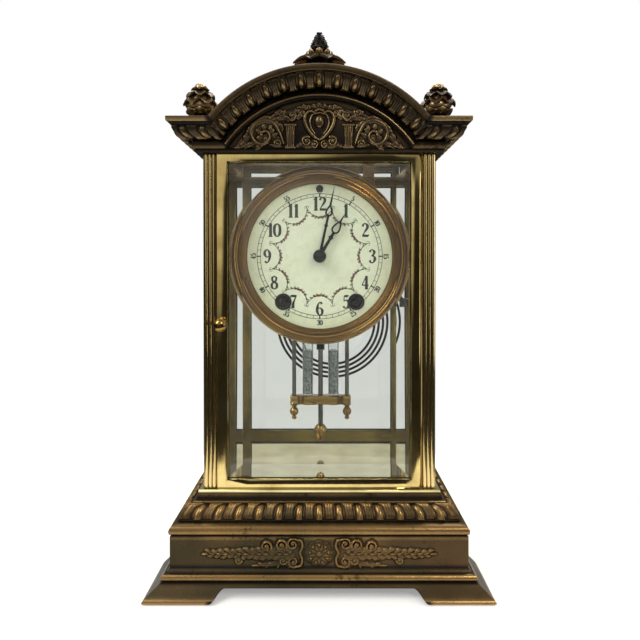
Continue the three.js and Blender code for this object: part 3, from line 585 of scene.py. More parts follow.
# ---- raised ornament, as a height over a surface -------------------------------------------
class Ornament:
    """Raised cast ornament: strokes, beads and leaves over a grid of (u, v) in mm."""

    def __init__(self, u0, u1, v0, v1, pitch=0.4):
        self.u, self.v = np.meshgrid(np.arange(u0, u1 + pitch, pitch), np.arange(v0, v1 + pitch, pitch))
        self.height = np.zeros_like(self.u)

    def raise_to(self, field):
        self.height = np.maximum(self.height, field)

    def bead(self, u, v, half_u, half_v, height):
        q = ((self.u - u) / half_u) ** 2 + ((self.v - v) / half_v) ** 2
        self.raise_to(height * np.sqrt(np.maximum(0, 1 - q)))

    def stroke(self, path, half_widths, height, lobes=0, vein=0.0, heights=(1, 1)):
        """A rounded stroke through points; lobes make its edges leafy, vein cuts a line along it."""
        line = spline(path, 5)
        t = np.linspace(0, 1, len(line))
        width = np.interp(t, np.linspace(0, 1, len(half_widths)), half_widths)
        if lobes:
            width = width * (0.62 + 0.38 * np.abs(np.sin(math.pi * lobes * t)))
        level = height * np.interp(t, np.linspace(0, 1, len(heights)), heights)
        reach = width.max() + 0.5
        low, high = line.min(0) - reach, line.max(0) + reach
        near = (self.u > low[0]) & (self.u < high[0]) & (self.v > low[1]) & (self.v < high[1])
        u, v = self.u[near], self.v[near]
        best = np.zeros_like(u)
        for i in range(len(line) - 1):
            (a0, a1), (d0, d1) = line[i], line[i + 1] - line[i]
            length = max(d0 * d0 + d1 * d1, 1e-9)
            s = np.clip(((u - a0) * d0 + (v - a1) * d1) / length, 0, 1)
            gap = np.hypot(u - a0 - s * d0, v - a1 - s * d1)
            q = gap / np.maximum(width[i] + (width[i + 1] - width[i]) * s, 1e-3)
            h = (level[i] + (level[i + 1] - level[i]) * s) * np.sqrt(np.maximum(0, 1 - q * q))
            best = np.maximum(best, h * (1 - vein * np.exp(-(q / 0.2) ** 2)))
        self.height[near] = np.maximum(self.height[near], best)

    def spiral(self, u, v, radius, turns, start, width, height):
        """A scroll: a stroke wound inwards, ending in a bead. Negative turns wind clockwise."""
        steps = max(8, int(abs(turns) * 14))
        path = []
        for i in range(steps + 1):
            t = i / steps
            angle = math.radians(start) + turns * 2 * math.pi * t
            r = radius * (1 - 0.75 * t)
            path.append((u + r * math.cos(angle), v + r * math.sin(angle)))
        self.stroke(path, [width, width * 0.7], height, heights=(1, 0.9))
        self.bead(u, v, width * 1.3, width * 1.3, height)

    def leaf(self, u, v, angle, length, half_width, height, lobes=3, bend=0.0):
        """A pointed leaf from (u, v) along angle, curving by bend degrees."""
        path = []
        for i in range(5):
            t = i / 4
            turn = math.radians(angle + bend * t)
            path.append((u + length * t * math.cos(turn), v + length * t * math.sin(turn)))
        self.stroke(path, [half_width * 0.5, half_width, half_width * 0.8, 0.15], height,
                    lobes=lobes, vein=0.45, heights=(0.8, 1, 0.4))

    def shell(self, u, v, half_u, half_v, lobes, height):
        """A fluted shell with a lobed edge."""
        a, b = (self.u - u) / half_u, (self.v - v) / half_v
        angle = np.arctan2(b, a)
        edge = 0.88 + 0.12 * np.abs(np.cos(lobes * (angle - math.pi / 2) / 2))
        q = np.hypot(a, b) / edge
        flutes = 0.72 + 0.28 * np.abs(np.cos(lobes * (angle - math.pi / 2) / 2))
        ring = 1 - 0.3 * np.exp(-((q - 0.62) / 0.08) ** 2)
        self.raise_to(height * np.sqrt(np.maximum(0, 1 - q ** 3)) * flutes * ring * (0.7 + 0.3 * q))

    def mirror(self):
        """Makes the field the same on both sides of u = 0."""
        self.height = np.maximum(self.height, self.height[:, ::-1])

    def shape(self, place, crest):
        """A closed shape over the raised cells and a rim round them, painted dark as a shadow outline.

        place(u, v, height) gives points, and crest says how bright the painted highlights on the high spots
        are.
        """
        keep, back, rim = 0.06, 0.3, 0.05  # lowest height kept, depth behind the surface, rim height
        grown = self.height > keep
        for _ in range(2):
            for axis in (0, 1):
                for step in (-1, 1):
                    grown |= np.roll(grown, step, axis)
        soft = self.height.copy()
        for _ in range(6):
            soft = (soft + np.roll(soft, 1, 0) + np.roll(soft, -1, 0)
                    + np.roll(soft, 1, 1) + np.roll(soft, -1, 1)) / 5
        top = place(self.u, self.v, np.maximum(self.height, rim))
        under = place(self.u, self.v, np.full_like(self.height, -back))
        # painted shade at the foot of the relief and round it, painted highlight on the high spots
        tone = np.clip(0.4 + (self.height - soft) * crest + self.height * 0.08, 0, 1)
        cells = grown[:-1, :-1] & grown[1:, :-1] & grown[:-1, 1:] & grown[1:, 1:]
        width = self.u.shape[1]
        count = self.u.size
        faces = []
        corner = [(0, 0), (0, 1), (1, 1), (1, 0)]
        for i, j in zip(*np.nonzero(cells)):
            ring = [(i + a) * width + j + b for a, b in corner]
            faces.append(tuple(ring))
            faces.append(tuple(count + k for k in reversed(ring)))
            for k, (di, dj) in enumerate([(-1, 0), (0, 1), (1, 0), (0, -1)]):
                ni, nj = i + di, j + dj
                inside = 0 <= ni < cells.shape[0] and 0 <= nj < cells.shape[1] and cells[ni, nj]
                if not inside:
                    a, b = ring[k], ring[(k + 1) % 4]
                    faces.append((b, a, count + a, count + b))
        points = np.vstack([top.reshape(-1, 3), under.reshape(-1, 3)])
        shade = np.concatenate([tone.ravel(), np.full(count, 0.2)])
        used = np.unique(np.array([k for face in faces for k in face]))
        renumber = np.full(2 * count, -1)
        renumber[used] = np.arange(len(used))
        faces = [tuple(int(renumber[k]) for k in face) for face in faces]
        return points[used], faces, shade[used]


def egg_and_leaf(across, run, whole_egg=False):
    """One repeat of a band: an egg in a deep groove, and a fluted leaf between two eggs.

    The egg is closed where run is small; at 1 it is cut off, unless it is a whole one.
    """
    past = (run - 0.5) / 0.43 if whole_egg else np.maximum(0.44 - run, 0) / 0.34
    wall = np.sqrt((across / 0.185) ** 2 + past ** 2)
    egg = 1.9 * np.sqrt(np.maximum(0, 1 - wall ** 2))
    rise = np.sqrt(np.clip((wall - 1.5) / 0.25, 0, 1))
    flutes = 0.72 + 0.28 * np.abs(np.cos(math.pi * 1.5 * (0.5 - np.abs(across)) / 0.2))
    crown = 0.8 + 0.75 * np.exp(-((run - 0.17) / 0.13) ** 2)
    foot = np.sqrt(np.clip((1.02 - run) / 0.14, 0, 1))
    return np.maximum(egg, 1.25 * rise * flutes * crown * foot)


def egg_in_frame(across, run):
    """The same repeat with a whole egg, as on the top casting."""
    return egg_and_leaf(across, run, whole_egg=True)


def banded(place, u_range, v_count, cells, u_pitch, repeat, closed_end_up=False):
    """A strip of repeats; place(u, v, height) puts it in space, v from 0 to 1.

    cells are (share of the way out from the middle, cell number there) pairs.
    """
    steps = int(round((u_range[1] - u_range[0]) / u_pitch))
    u, v = np.meshgrid(np.linspace(*u_range, steps + 1), np.linspace(0, 1, v_count))
    cell = np.sign(u) * np.interp(np.abs(u), *zip(*cells))
    across = cell - np.round(cell)
    height = repeat(across, 1 - v if closed_end_up else v)
    top = place(u, v, height)
    under = place(u, v, np.full_like(height, -0.5))
    # painted shade down in the grooves, painted highlight on the raised eggs and leaves
    tone = np.clip(0.12 + height * 0.42, 0, 1)
    rows = np.concatenate([top, under[::-1]], 0)
    shade = np.concatenate([tone, np.full_like(tone, 0.1)[::-1]], 0)
    points, faces, _ = skin(rows, wrap_rows=True)
    width, rings = u.shape[1], rows.shape[0]
    faces.append(tuple(k * width for k in range(rings)))
    faces.append(tuple(k * width + width - 1 for k in reversed(range(rings))))
    return points, faces, shade.ravel()


def along_curve(curve, v):
    """Points and outward normals (half width or radius, z or depth) at share v of a section."""
    steps = np.linalg.norm(np.diff(curve, axis=0), axis=1)
    share = np.concatenate([[0], np.cumsum(steps)]) / steps.sum()
    point = np.stack([np.interp(v, share, curve[:, k]) for k in (0, 1)], -1)
    ahead = np.stack([np.interp(v, share, np.gradient(curve[:, k])) for k in (0, 1)], -1)
    ahead /= np.linalg.norm(ahead, axis=-1)[..., None]
    return point, np.stack([ahead[..., 1], -ahead[..., 0]], -1)


SIDES = [((1, 0), (0, -1), 0.0), ((0, 1), (1, 0), INSET), ((-1, 0), (0, 1), 0.0), ((0, -1), (-1, 0), INSET)]


def side_band(curve, side, cells, repeat, u_range=(-1, 1), closed_end_up=False, u_step=0.0045):
    """A strip of eggs and leaves along one side of the case, mitred at its corners."""
    v_count = 15
    (ex, ey), (nx, ny), narrower = side
    stand_off = INSET - narrower

    def place(u, v, height):
        section, normal = along_curve(curve, v)
        w = section[..., 0] + normal[..., 0] * height
        z = section[..., 1] + normal[..., 1] * height
        run = u * (w - narrower)
        out = w - stand_off
        return np.stack([ex * run + nx * out, ey * run + ny * out, z], -1)
    return banded(place, u_range, v_count, cells, u_step, repeat, closed_end_up)


# ---- base -------------------------------------------------------------------------------
OVOLO = spline([(94.6, 47.8), (94.1, 49.9), (92.9, 52.3), (90.9, 54.5), (88.2, 56.0)], 4)


def base():
    foot = outline(
        [(113.9, 0), (114.9, 0.9), (114.9, 1.9), (113.7, 3.4), (109.7, 6.4), (107.2, 8.3), (104.6, 10.0)],
        [(104.4, 10.1), (105.1, 11.3), (105.1, 12.9), (104.1, 14.4), (102.4, 15.0)],
        [(102.2, 15.2), (101.5, 16.3), (100.6, 17.2), (PLINTH_FACE, 17.8)],
        [(PLINTH_FACE, 38.4), (99.4, 38.9)],
        [(99.4, 39.5), (100.5, 39.9), (101.0, 41.3), (100.8, 43.1), (99.4, 45.0), (96.4, 46.3)],
        [(95.3, 46.5), (95.3, 47.4)],
    )
    upper = outline([(87.8, 56.1), (87.8, 57.0), (87.2, 57.4)], [(86.0, 57.5), (85.3, 57.9), (84.9, 58.8)],
                    [(84.6, 61.2), (83.8, 61.9)])
    hollow = [(79, 54), (79, 38), (92, 38), (92, 0)]
    section = np.vstack([hollow, foot, OVOLO, upper])
    points, faces, tone = around(section)
    tone = np.where(points[:, 2] > 57.45, tone * 0.8, tone)  # the step under the case is made darker
    casting = build("base_moulding", [(points, faces, tone)], BRONZE,
                    replaces=["base_casting"])

    def gap(inner):
        foot_edge = [(inner - 11 * t, 7.7 * (1 - math.cos(math.pi * t)) / 2) for t in np.linspace(0, 1, 13)]
        half = [(inner, -1)] + foot_edge
        return np.array([(-x, z) for x, z in half] + half[::-1])
    front = scratch("front_gap", prism(gap(73), -120, 120))
    flank = scratch("flank_gap", prism(gap(55), -120, 120))
    flank.rotation_euler.z = math.pi / 2
    carve(casting, ("DIFFERENCE", front), ("DIFFERENCE", flank))
    long_side = [(0, 0), (0.9, 6.21), (1, 6.5)]  # thirteen eggs, and a wider leaf at each corner
    short_side = [(0, 0), (0.89, 5.25), (1, 5.5)]
    for name, side, cells in zip(("front", "right", "rear", "left"), SIDES, (long_side, short_side) * 2):
        build(f"base_eggs_{name}", [side_band(OVOLO, side, cells, egg_and_leaf, closed_end_up=True)], BRONZE,
              merge=False, sharp=60)


def plinth_ornament(length):
    """A shell between scrolls, with long acanthus sprays; u runs to both sides of it."""
    share = length / 78
    o = Ornament(-length - 2, length + 2, -10.2, 10.2)
    o.shell(0, -0.4, 9.8, 9.2, 9, 1.5)
    o.bead(0, -0.4, 2.4, 2.2, 2.1)
    for k in range(9):
        a = math.radians(90 + 40 * k)
        o.bead(6.4 * math.cos(a), -0.4 + 6.0 * math.sin(a), 1.2, 1.2, 1.9)
        o.leaf(2.4 * math.cos(a + 0.35), -0.4 + 2.2 * math.sin(a + 0.35), math.degrees(a + 0.35), 5.4, 1.0,
               1.9, lobes=2)
    # upright C-scrolls beside the shell
    o.stroke([(15.4, 9.4), (12.0, 8.4), (11.2, 4.6), (12.8, 0.6), (11.4, -3.6), (12.2, -7.8), (15.8, -9.2)],
             [0.7, 1.1, 1.0, 1.3, 1.0, 1.1, 0.7], 1.9)
    o.spiral(17.6, 6.2, 4.0, -1.3, 120, 1.0, 2.0)
    o.spiral(17.2, -5.6, 3.9, 1.3, 230, 1.0, 1.9)
    # the spray: leaflets on both sides of a stem, with curls over it
    o.stroke([(14, -0.4), (26 * share, 0.8), (42 * share, 0), (58 * share, -0.6), (length, -1.2)],
             [5.4, 5.8, 4.6, 3.2, 0.3], 0.7, lobes=9)
    leaflets = 13
    for k in range(leaflets):
        x = 18 + k * 4.5
        fade = 1 - 0.5 * k / leaflets
        for side in (-1, 1):
            wave = 8 * math.sin(k * 2.1 + side)
            o.leaf((x + side) * share, side * 0.5 - 0.2, side * (62 + wave), 8.6 * fade, 2.7 * fade, 1.9,
                   lobes=3, bend=-side * 50)
        o.leaf((x + 2.2) * share, -0.3, 4 - wave, 5.2, 1.1, 2.1, lobes=2)
    for x, v, radius, turns in ((25.5, 5.6, 4.0, -1.3), (35.5, 4.8, 3.8, -1.25), (54, -4.4, 2.4, 1.15),
                                (24, -4.8, 2.6, 1.1)):
        o.spiral(x * share, v, radius, turns, 200, 1.05, 2.2)
        o.bead(x * share, v, radius * 0.42, radius * 0.42, 2.3)
    # the lower, shorter leaf
    o.stroke([(17, -7.6), (26 * share, -7.0), (34 * share, -7.8), (46 * share, -8.4)], [2.2, 2.6, 2.0, 0.3],
             1.3, lobes=6)
    for k in range(6):
        o.leaf((19 + 3.8 * k) * share, -7.6, 40 if k % 2 else -40, 3.6, 1.1, 1.6, lobes=2, bend=-30)
    o.mirror()
    return o


def plinth():
    level = 27.6
    for name, side, length in zip(("front", "right", "rear", "left"), SIDES, (78, 62, 78, 62)):
        (ex, ey), (nx, ny), narrower = side
        out = PLINTH_FACE - (INSET - narrower)

        def place(u, v, height, ex=ex, ey=ey, nx=nx, ny=ny, out=out):
            reach = out + height
            return np.stack([ex * u + nx * reach, ey * u + ny * reach, level + v], -1)
        build(f"plinth_ornament_{name}", [plinth_ornament(length).shape(place, 0.5)], BRONZE,
              merge=False, sharp=180)


# ---- glazed case --------------------------------------------------------------------------
def reeded():
    """Section of a square post with three reeds on each face."""
    half, reeds, depth, steps = POST_HALF, 3, 1.0, 8
    points = []
    for face in range(4):
        turn = face * math.pi / 2
        flat = half - 0.15
        for i in range(reeds * steps):
            t = i / steps
            along = -flat + depth * 0.55 + (i / (reeds * steps)) * 2 * (flat - depth * 0.55)
            out = flat - depth + depth * math.sqrt(max(0.0, 1 - (2 * (t % 1) - 1) ** 2)) ** 0.9
            points.append((out * math.cos(turn) - along * math.sin(turn),
                           out * math.sin(turn) + along * math.cos(turn)))
    return points


def posts():
    section = reeded()
    # painted highlight on the reeds' crests, painted shade in the grooves
    tones = [0.2 + 0.8 * (max(abs(x), abs(y)) > POST_HALF - 0.6) for x, y in section]
    for end, sy in ENDS:
        for side, sx in FLANKS:
            x0, y0 = sx * POST_CENTRE[0], sy * POST_CENTRE[1]
            heights = np.linspace(*GLAZING, 24)
            rows = [[(x0 + x, y0 + y, z) for x, y in section] for z in heights]
            shape = skin(rows, wrap_columns=True, caps=True, tone=np.tile(tones, len(heights)))
            build(f"reeded_post_{end}_{side}", [shape], BRASS_POST,
                  replaces=[f"post_{end}_{side}"], sharp=50)


def rectangle_ring(section, half_width, z0, z1, y, steps=1):
    """A frame round an opening: the section is (outwards, depth) pairs, closed on itself."""
    corners = [(-1, -1), (1, -1), (1, 1), (-1, 1)]
    rows = []
    for k, (cx, cz) in enumerate(corners):
        nx, nz = corners[(k + 1) % 4]
        for s in range(steps):
            t = s / steps
            row = []
            for out, depth in section:
                a = np.array([cx * (half_width + out), z0 - out if cz < 0 else z1 + out])
                b = np.array([nx * (half_width + out), z0 - out if nz < 0 else z1 + out])
                x, z = a + (b - a) * t
                row.append((x, y + depth, z))
            rows.append(row)
    return skin(rows, wrap_columns=True, wrap_rows=True)


def doors():
    half_width, z0, z1 = DOOR_OPENING
    reach = DOOR_OUTSIDE[0] - half_width
    for end, sy in ENDS:
        section = [
            (0, -1.9), (0.15, -2.35), (0.6, -LEAF_HALF), (5.0, -LEAF_HALF), (5.8, -LEAF_HALF),
            (6.5, -LEAF_HALF), (7.0, -LEAF_HALF), (reach - 0.12, -LEAF_HALF),
            (reach, -2.3), (reach, 0), (reach, 2.3),
            (reach - 0.12, LEAF_HALF), (7.0, LEAF_HALF), (6.5, LEAF_HALF), (5.8, LEAF_HALF), (5.0, LEAF_HALF),
            (2.0, LEAF_HALF), (2.0, -0.1), (0, -0.1),
        ]
        points, faces, tone = rectangle_ring([(a, -sy * b) for a, b in section], half_width, z0, z1,
                                             sy * DOOR_Y, steps=8)
        # the hinge stile is rounded about its pins
        over = np.clip((points[:, 0] - HINGE_X) / (DOOR_OUTSIDE[0] - HINGE_X), 0, 0.999)
        points[:, 1] = sy * DOOR_Y + (points[:, 1] - sy * DOOR_Y) * np.sqrt(1 - over ** 2)
        # the rear door's frame gets the darker copy of the brass: painted shade
        build(f"{end}_door_rails", [(points, faces, tone)], BRASS if sy < 0 else SHADED_BRASS,
              body=f"{end}_door", replaces=[f"{end}_door_frame"], sharp=35)
        # a thin dark strip where the glass sits: a painted shadow along the glass's edge
        bead = rectangle_ring([(0.0, 0.0), (-0.5, 0.25), (-0.5, 0.7), (0.0, 0.9), (0.6, 0.45)],
                              half_width, z0, z1, sy * (DOOR_Y - 0.35) - (0.9 if sy > 0 else 0))
        build(f"{end}_door_shadow_line", [bead], SHADOW_LINE_BLACK, body=f"{end}_door", merge=False)
        knob_z = KNOB_Z[end]
        knob = outline([(0, 15.3), (1.8, 15.2), (3.6, 14.2), (4.4, 12.4), (4.3, 10.6), (3.2, 8.9),
                        (2.0, 7.7)],
                       [(1.7, 7.2), (1.7, 5.0)], [(2.2, 4.6), (3.1, 4.0), (3.2, 3.2)],
                       [(3.2, 2.8), (1.3, 2.7)], [(1.3, -8.4), (0, -8.4)])
        knob[:, 1] = sy * (DOOR_Y + knob[:, 1])
        turned_knob = turned(knob, 40, "Y", (KNOB_X, 0, knob_z))
        catch = block(KNOB_X - 2.4, KNOB_X + 2.4, *sorted((sy * 58.9, sy * 57.5)), knob_z - 3, knob_z + 7.4)
        build(f"{end}_knob", [turned_knob, catch], BRASS_KNOB, body=f"{end}_latch",
              replaces=[f"{end}_door_latch"])


def rails():
    """Slim brass rails along the side glasses, top and bottom, inside the case."""
    section = [(-2.4, 0.3), (-2.1, 0), (2.1, 0), (2.4, 0.3), (2.4, 4.7), (2.1, 5.0), (-2.1, 5.0), (-2.4, 4.7)]
    rail_x, rail_end, rail_height = 73.4, 59.0, 5.0
    shapes = []
    for sx in (-1, 1):
        for z in (GLAZING[0], GLAZING[1] - rail_height):
            rows = [[(sx * rail_x + a, y, z + b) for a, b in section] for y in (-rail_end, 0, rail_end)]
            shapes.append(skin(rows, wrap_columns=True, caps=True))
    build("side_rails", shapes, SHADED_BRASS, merge=False)


# ---- top casting --------------------------------------------------------------------------
CORNICE_OVOLO = spline([(90.3, 307.5), (93.4, 308.1), (96.0, 309.8), (97.6, 312.2), (98.3, 314.3)], 4)
ARCH_OVOLO = spline([(83.4, -77.4), (84.0, -80.4), (85.7, -83.1), (88.3, -85.3), (91.5, -86.7)], 4)


def arch_section():
    return outline([(76, -73.2), (76.1, -75.2), (76.9, -76.6), (78.3, -77.1), (79.7, -76.5), (80.5, -75)],
                   [(80.6, -74.4), (83.1, -74.4)], ARCH_OVOLO, [(91.7, -87.4), (91.8, -88.9), (92.6, -89.5)],
                   [(95.3, -89.5), (96, -88.9)], [(96, -82.8), (95.6, -82)], [(94.5, -81.6), (94.5, -81)],
                   steps=4)


def top():
    cornice = outline([(85.9, 298.5), (85.9, 300.7)], [(87, 300.9), (87, 307.2)], CORNICE_OVOLO,
                      [(98.6, 314.8), (99.8, 315.9), (101.4, 316.3)],
                      [(102, 316.7), (102, 319.2), (101.6, 319.7)])
    level = around(cornice)
    casting = build("cornice", [level], DARK_BRONZE, replaces=["top_casting"])
    slope = (MITRE_HIGH[0] - MITRE_LOW[0]) / (MITRE_HIGH[1] - MITRE_LOW[1])
    crown = 365.0

    def wedge(widen):
        right = [(MITRE_LOW[0] + widen, MITRE_LOW[1] - widen),
                 (MITRE_HIGH[0] + widen + slope * (crown - MITRE_HIGH[1]), crown)]
        return prism(right + [(-x, z) for x, z in right[::-1]], -100, 100)
    half = arch_section()
    section = np.vstack([[(0, TYMPANUM_Y)], half, [(r, -y) for r, y in half[::-1]], [(0, -TYMPANUM_Y)]])
    drum = scratch("drum", turned(section, 144, "Y", (0, 0, ARCH_Z)))
    drum_cutter = scratch("drum_wedge", wedge(0.05))
    modifier = drum.modifiers.new("keep", "BOOLEAN")
    modifier.operation, modifier.object, modifier.solver = "INTERSECT", drum_cutter, "EXACT"
    vault_radius, springing, hollow_x = 89.5, 313.4, 81
    low = math.asin((springing - ARCH_Z) / vault_radius)
    vault = [(vault_radius * math.cos(a), ARCH_Z + vault_radius * math.sin(a))
             for a in np.linspace(low, math.pi - low, 41)]
    hollow = prism([(-hollow_x, 293), (hollow_x, 293), (hollow_x, springing)] + vault
                   + [(-hollow_x, springing)], -68.6, 68.6)
    carve(casting, ("DIFFERENCE", scratch("level_wedge", wedge(0))), ("UNION", drum),
          ("DIFFERENCE", scratch("hollow", hollow)))
    bpy.data.objects.remove(drum_cutter)


def top_bands():
    shapes = []
    mitre_at_band = 68.5  # half width at which the level band turns up into the arch
    band_half_width = 94
    for side in (SIDES[1], SIDES[3]):
        shapes.append(side_band(CORNICE_OVOLO, side, [(0, 0), (1, 6.5)], egg_in_frame, u_step=0.0055))
    for side in (SIDES[0], SIDES[2]):
        for span in ((-1, -mitre_at_band / band_half_width), (mitre_at_band / band_half_width, 1)):
            shapes.append(side_band(CORNICE_OVOLO, side, [(0, 0), (1, 7.5)], egg_in_frame, span,
                                    u_step=0.0055))
    limit = math.radians(52.6)  # where the arch band meets the level band
    for front in (-1, 1):
        def place(u, v, height, front=front):
            section, normal = along_curve(ARCH_OVOLO, v)
            r = section[..., 0] + normal[..., 0] * height
            y = section[..., 1] + normal[..., 1] * height
            angle = u * limit
            return np.stack([r * np.sin(angle), front * -y, ARCH_Z + r * np.cos(angle)], -1)
        shapes.append(banded(place, (-1, 1), 17, [(0, 0), (1, 6.5)], 0.0045, egg_in_frame))
    build("cornice_eggs", shapes, DARK_BRONZE, merge=False, sharp=60)


def tympanum_ornament():
    """Cartouche, fluted pilasters, acanthus scrolls and flowers; v is height above the flat edge."""
    o = Ornament(-62, 62, 0, 34.5, 0.36)
    # low leafy ground under the scrolls
    o.stroke([(-23, 24), (-33, 21), (-43, 15), (-52, 6), (-57.6, 2)], [3.2, 4.6, 5.2, 3.6, 0.8], 0.9,
             lobes=13)
    o.stroke([(-26, 7), (-32, 9), (-38, 8), (-46, 4)], [2.4, 3.6, 4.0, 2.4], 0.8, lobes=8)
    o.stroke([(-2, 29.5), (-10, 29.4), (-17, 26.8), (-25, 25.6)], [2.4, 2.6, 2.8, 2.0], 0.9, lobes=9)
    o.stroke([(-3, 3.4), (-9, 4.2), (-15.4, 2.6)], [2.6, 3.0, 1.2], 0.8, lobes=5)
    # cartouche with an oval boss
    o.bead(0, 20.2, 3.3, 4.7, 2.6)
    o.stroke([(0, 7.4), (-3.4, 9.6), (-7.4, 14.2), (-9.8, 19.6), (-9.6, 24.2), (-6.6, 27.2), (-3.2, 26.2)],
             [0.5, 1.2, 1.5, 1.5, 1.3, 1.0, 0.6], 2.1)
    o.stroke([(-2.8, 11.4), (-5.4, 15.2), (-6.4, 20.0), (-4.6, 24.6), (0, 26.2)], [0.5, 0.7, 0.8, 0.7, 0.6],
             1.5)
    o.spiral(-11.2, 25.8, 2.3, -1.2, 320, 0.8, 1.8)
    o.stroke([(-2.6, 27.4), (0, 28.6), (2.6, 27.4)], [0.8, 1.1, 0.8], 1.8)
    # flowers over it
    for x, v, size in ((0, 31.4, 1.7), (-3.6, 30.8, 1.5), (-7.2, 30.0, 1.5), (-10.6, 30.6, 1.3)):
        for k in range(5):
            a = math.radians(90 + 72 * k)
            o.bead(x + size * 0.7 * math.cos(a), v + size * 0.7 * math.sin(a), size * 0.55, size * 0.55, 1.5)
        o.bead(x, v, size * 0.4, size * 0.4, 1.9)
    o.leaf(-8.5, 28.4, 150, 8.0, 1.6, 1.6, bend=25)
    # rosette scrolls at the foot
    o.spiral(-8.6, 6.4, 3.5, 1.4, 60, 0.9, 1.8)
    o.spiral(-3.4, 4.2, 2.6, -1.2, 90, 0.75, 1.7)
    o.leaf(-5.0, 2.6, 190, 8.5, 1.3, 1.4, bend=-20)
    # fluted pilaster
    for k in range(-2, 3):
        o.stroke([(-19.9 + k * 1.25, 17.2), (-19.9 + k * 1.0, 3.2)], [0.55, 0.42], 1.7)
    o.stroke([(-23.8, 17.8), (-16.0, 17.8)], [0.8, 0.8], 2.0)
    o.stroke([(-22.9, 2.4), (-16.9, 2.4)], [0.9, 0.9], 1.5)
    # leaves over the pilaster
    o.spiral(-18.6, 24.2, 3.4, 1.3, 200, 1.0, 1.9)
    o.spiral(-26.4, 26.2, 2.6, -1.2, 20, 0.9, 1.8)
    for u, v, angle, size in ((-19, 20.4, 60, 7.5), (-21, 20.2, 120, 8.0), (-23.6, 22, 165, 8.5),
                              (-13.4, 27.6, 190, 7.0), (-15.6, 22.4, 20, 5.4), (-30.4, 24.6, 205, 7.0),
                              (-14, 24.6, 100, 5.6), (-26, 28, 200, 7.6)):
        o.leaf(u, v, angle, size, 2.0, 1.9, bend=25)
    # the large acanthus scroll
    o.stroke([(-24.6, 5.0), (-27.2, 12.0), (-31.6, 18.6), (-38.0, 20.6), (-44.0, 17.8), (-46.8, 12.4),
              (-45.0, 7.0), (-40.4, 4.4), (-35.6, 6.0), (-34.0, 10.0), (-36.6, 13.4), (-40.2, 12.4)],
             [0.7, 1.3, 1.8, 2.0, 2.0, 1.8, 1.6, 1.4, 1.3, 1.1, 1.0, 1.1], 2.1)
    o.bead(-40.0, 10.9, 1.7, 1.7, 2.2)
    for u, v, angle, size in (
        (-28, 16.4, 110, 6.0), (-31, 19.4, 130, 6.4), (-36, 21.2, 160, 7.0), (-42, 20.0, 195, 7.6),
        (-46.4, 15.6, 215, 7.2), (-47.0, 10.0, 205, 8.6), (-44.0, 5.6, 190, 9.0), (-39, 4.2, 200, 6.6),
        (-50.0, 6.2, 200, 7.4), (-29, 11.6, 200, 4.8), (-31.5, 14.8, 230, 4.6), (-33, 17.6, 250, 5.6),
        (-38.5, 18.2, 268, 5.0), (-43, 14.6, 300, 5.0), (-42.6, 8.4, 20, 4.6), (-37.6, 6.0, 60, 4.2),
        (-33.8, 22.6, 170, 7.8), (-40, 21.6, 186, 7.8), (-45, 18.0, 214, 8.0), (-48.6, 12.4, 222, 8.2),
        (-27, 22.0, 178, 6.6), (-25.6, 14.0, 96, 6.4),
    ):
        o.leaf(u, v, angle, size, 2.1, 1.8, bend=18)
    o.spiral(-51.6, 4.4, 2.0, 1.1, 90, 0.7, 1.6)
    o.leaf(-52.5, 2.8, 186, 7.6, 1.1, 1.3, lobes=4)
    o.spiral(-28.4, 4.8, 2.6, -1.2, 180, 0.8, 1.6)
    o.leaf(-26.0, 3.0, 180, 9.0, 1.2, 1.3, bend=-10)
    o.mirror()
    inside = np.hypot(o.u, o.v + TYMPANUM_Z - ARCH_Z) < 75.4
    o.height = np.where(inside, o.height, 0)
    return o


def tympana():
    for name, front in ENDS:
        def place(u, v, height, front=front):
            return np.stack([-front * u, front * (-TYMPANUM_Y + height), TYMPANUM_Z + v], -1)
        build(f"tympanum_ornament_{name}", [tympanum_ornament().shape(place, 0.95)], DARK_BRONZE,
              merge=False, sharp=180)


# ---- finials --------------------------------------------------------------------------------
def petal(base, out_angle, length, half_width, rise, curl, thick):
    """A lobed leaf that rises from base, leans outwards and curls at its tip."""
    rows = []
    a = math.radians(out_angle)
    outward = np.array([math.cos(a), math.sin(a), 0.0])
    across = np.array([-math.sin(a), math.cos(a), 0.0])
    position = np.array(base, float)
    steps = 9
    for i in range(steps + 1):
        t = i / steps
        lean = math.radians(rise + curl * t * t)
        forward = outward * math.cos(lean) + np.array([0, 0, 1.0]) * math.sin(lean)
        normal = np.cross(across, forward)
        width = half_width * (math.sin(math.pi * (0.12 + 0.86 * t)) ** 0.7) * (
            0.8 + 0.2 * abs(math.sin(3.5 * math.pi * t)))
        row = []
        for s in (-1, -0.55, 0, 0.55, 1):
            fold = 0.35 * width * (abs(s) - 0.5)
            row.append(position + across * width * s - normal * fold)
        under = [p + normal * -thick * (1 - 0.6 * t) for p in row[::-1]]
        rows.append(row + under)
        position = position + forward * length / steps
    # painted shade on the underside and in the hollows either side of the rib, painted highlight on the rib
    # and edges
    tone = np.tile([0.75, 0.4, 0.85, 0.4, 0.75, 0.3, 0.2, 0.2, 0.2, 0.3], steps + 1)
    return skin(rows, wrap_columns=True, caps=True, tone=tone)


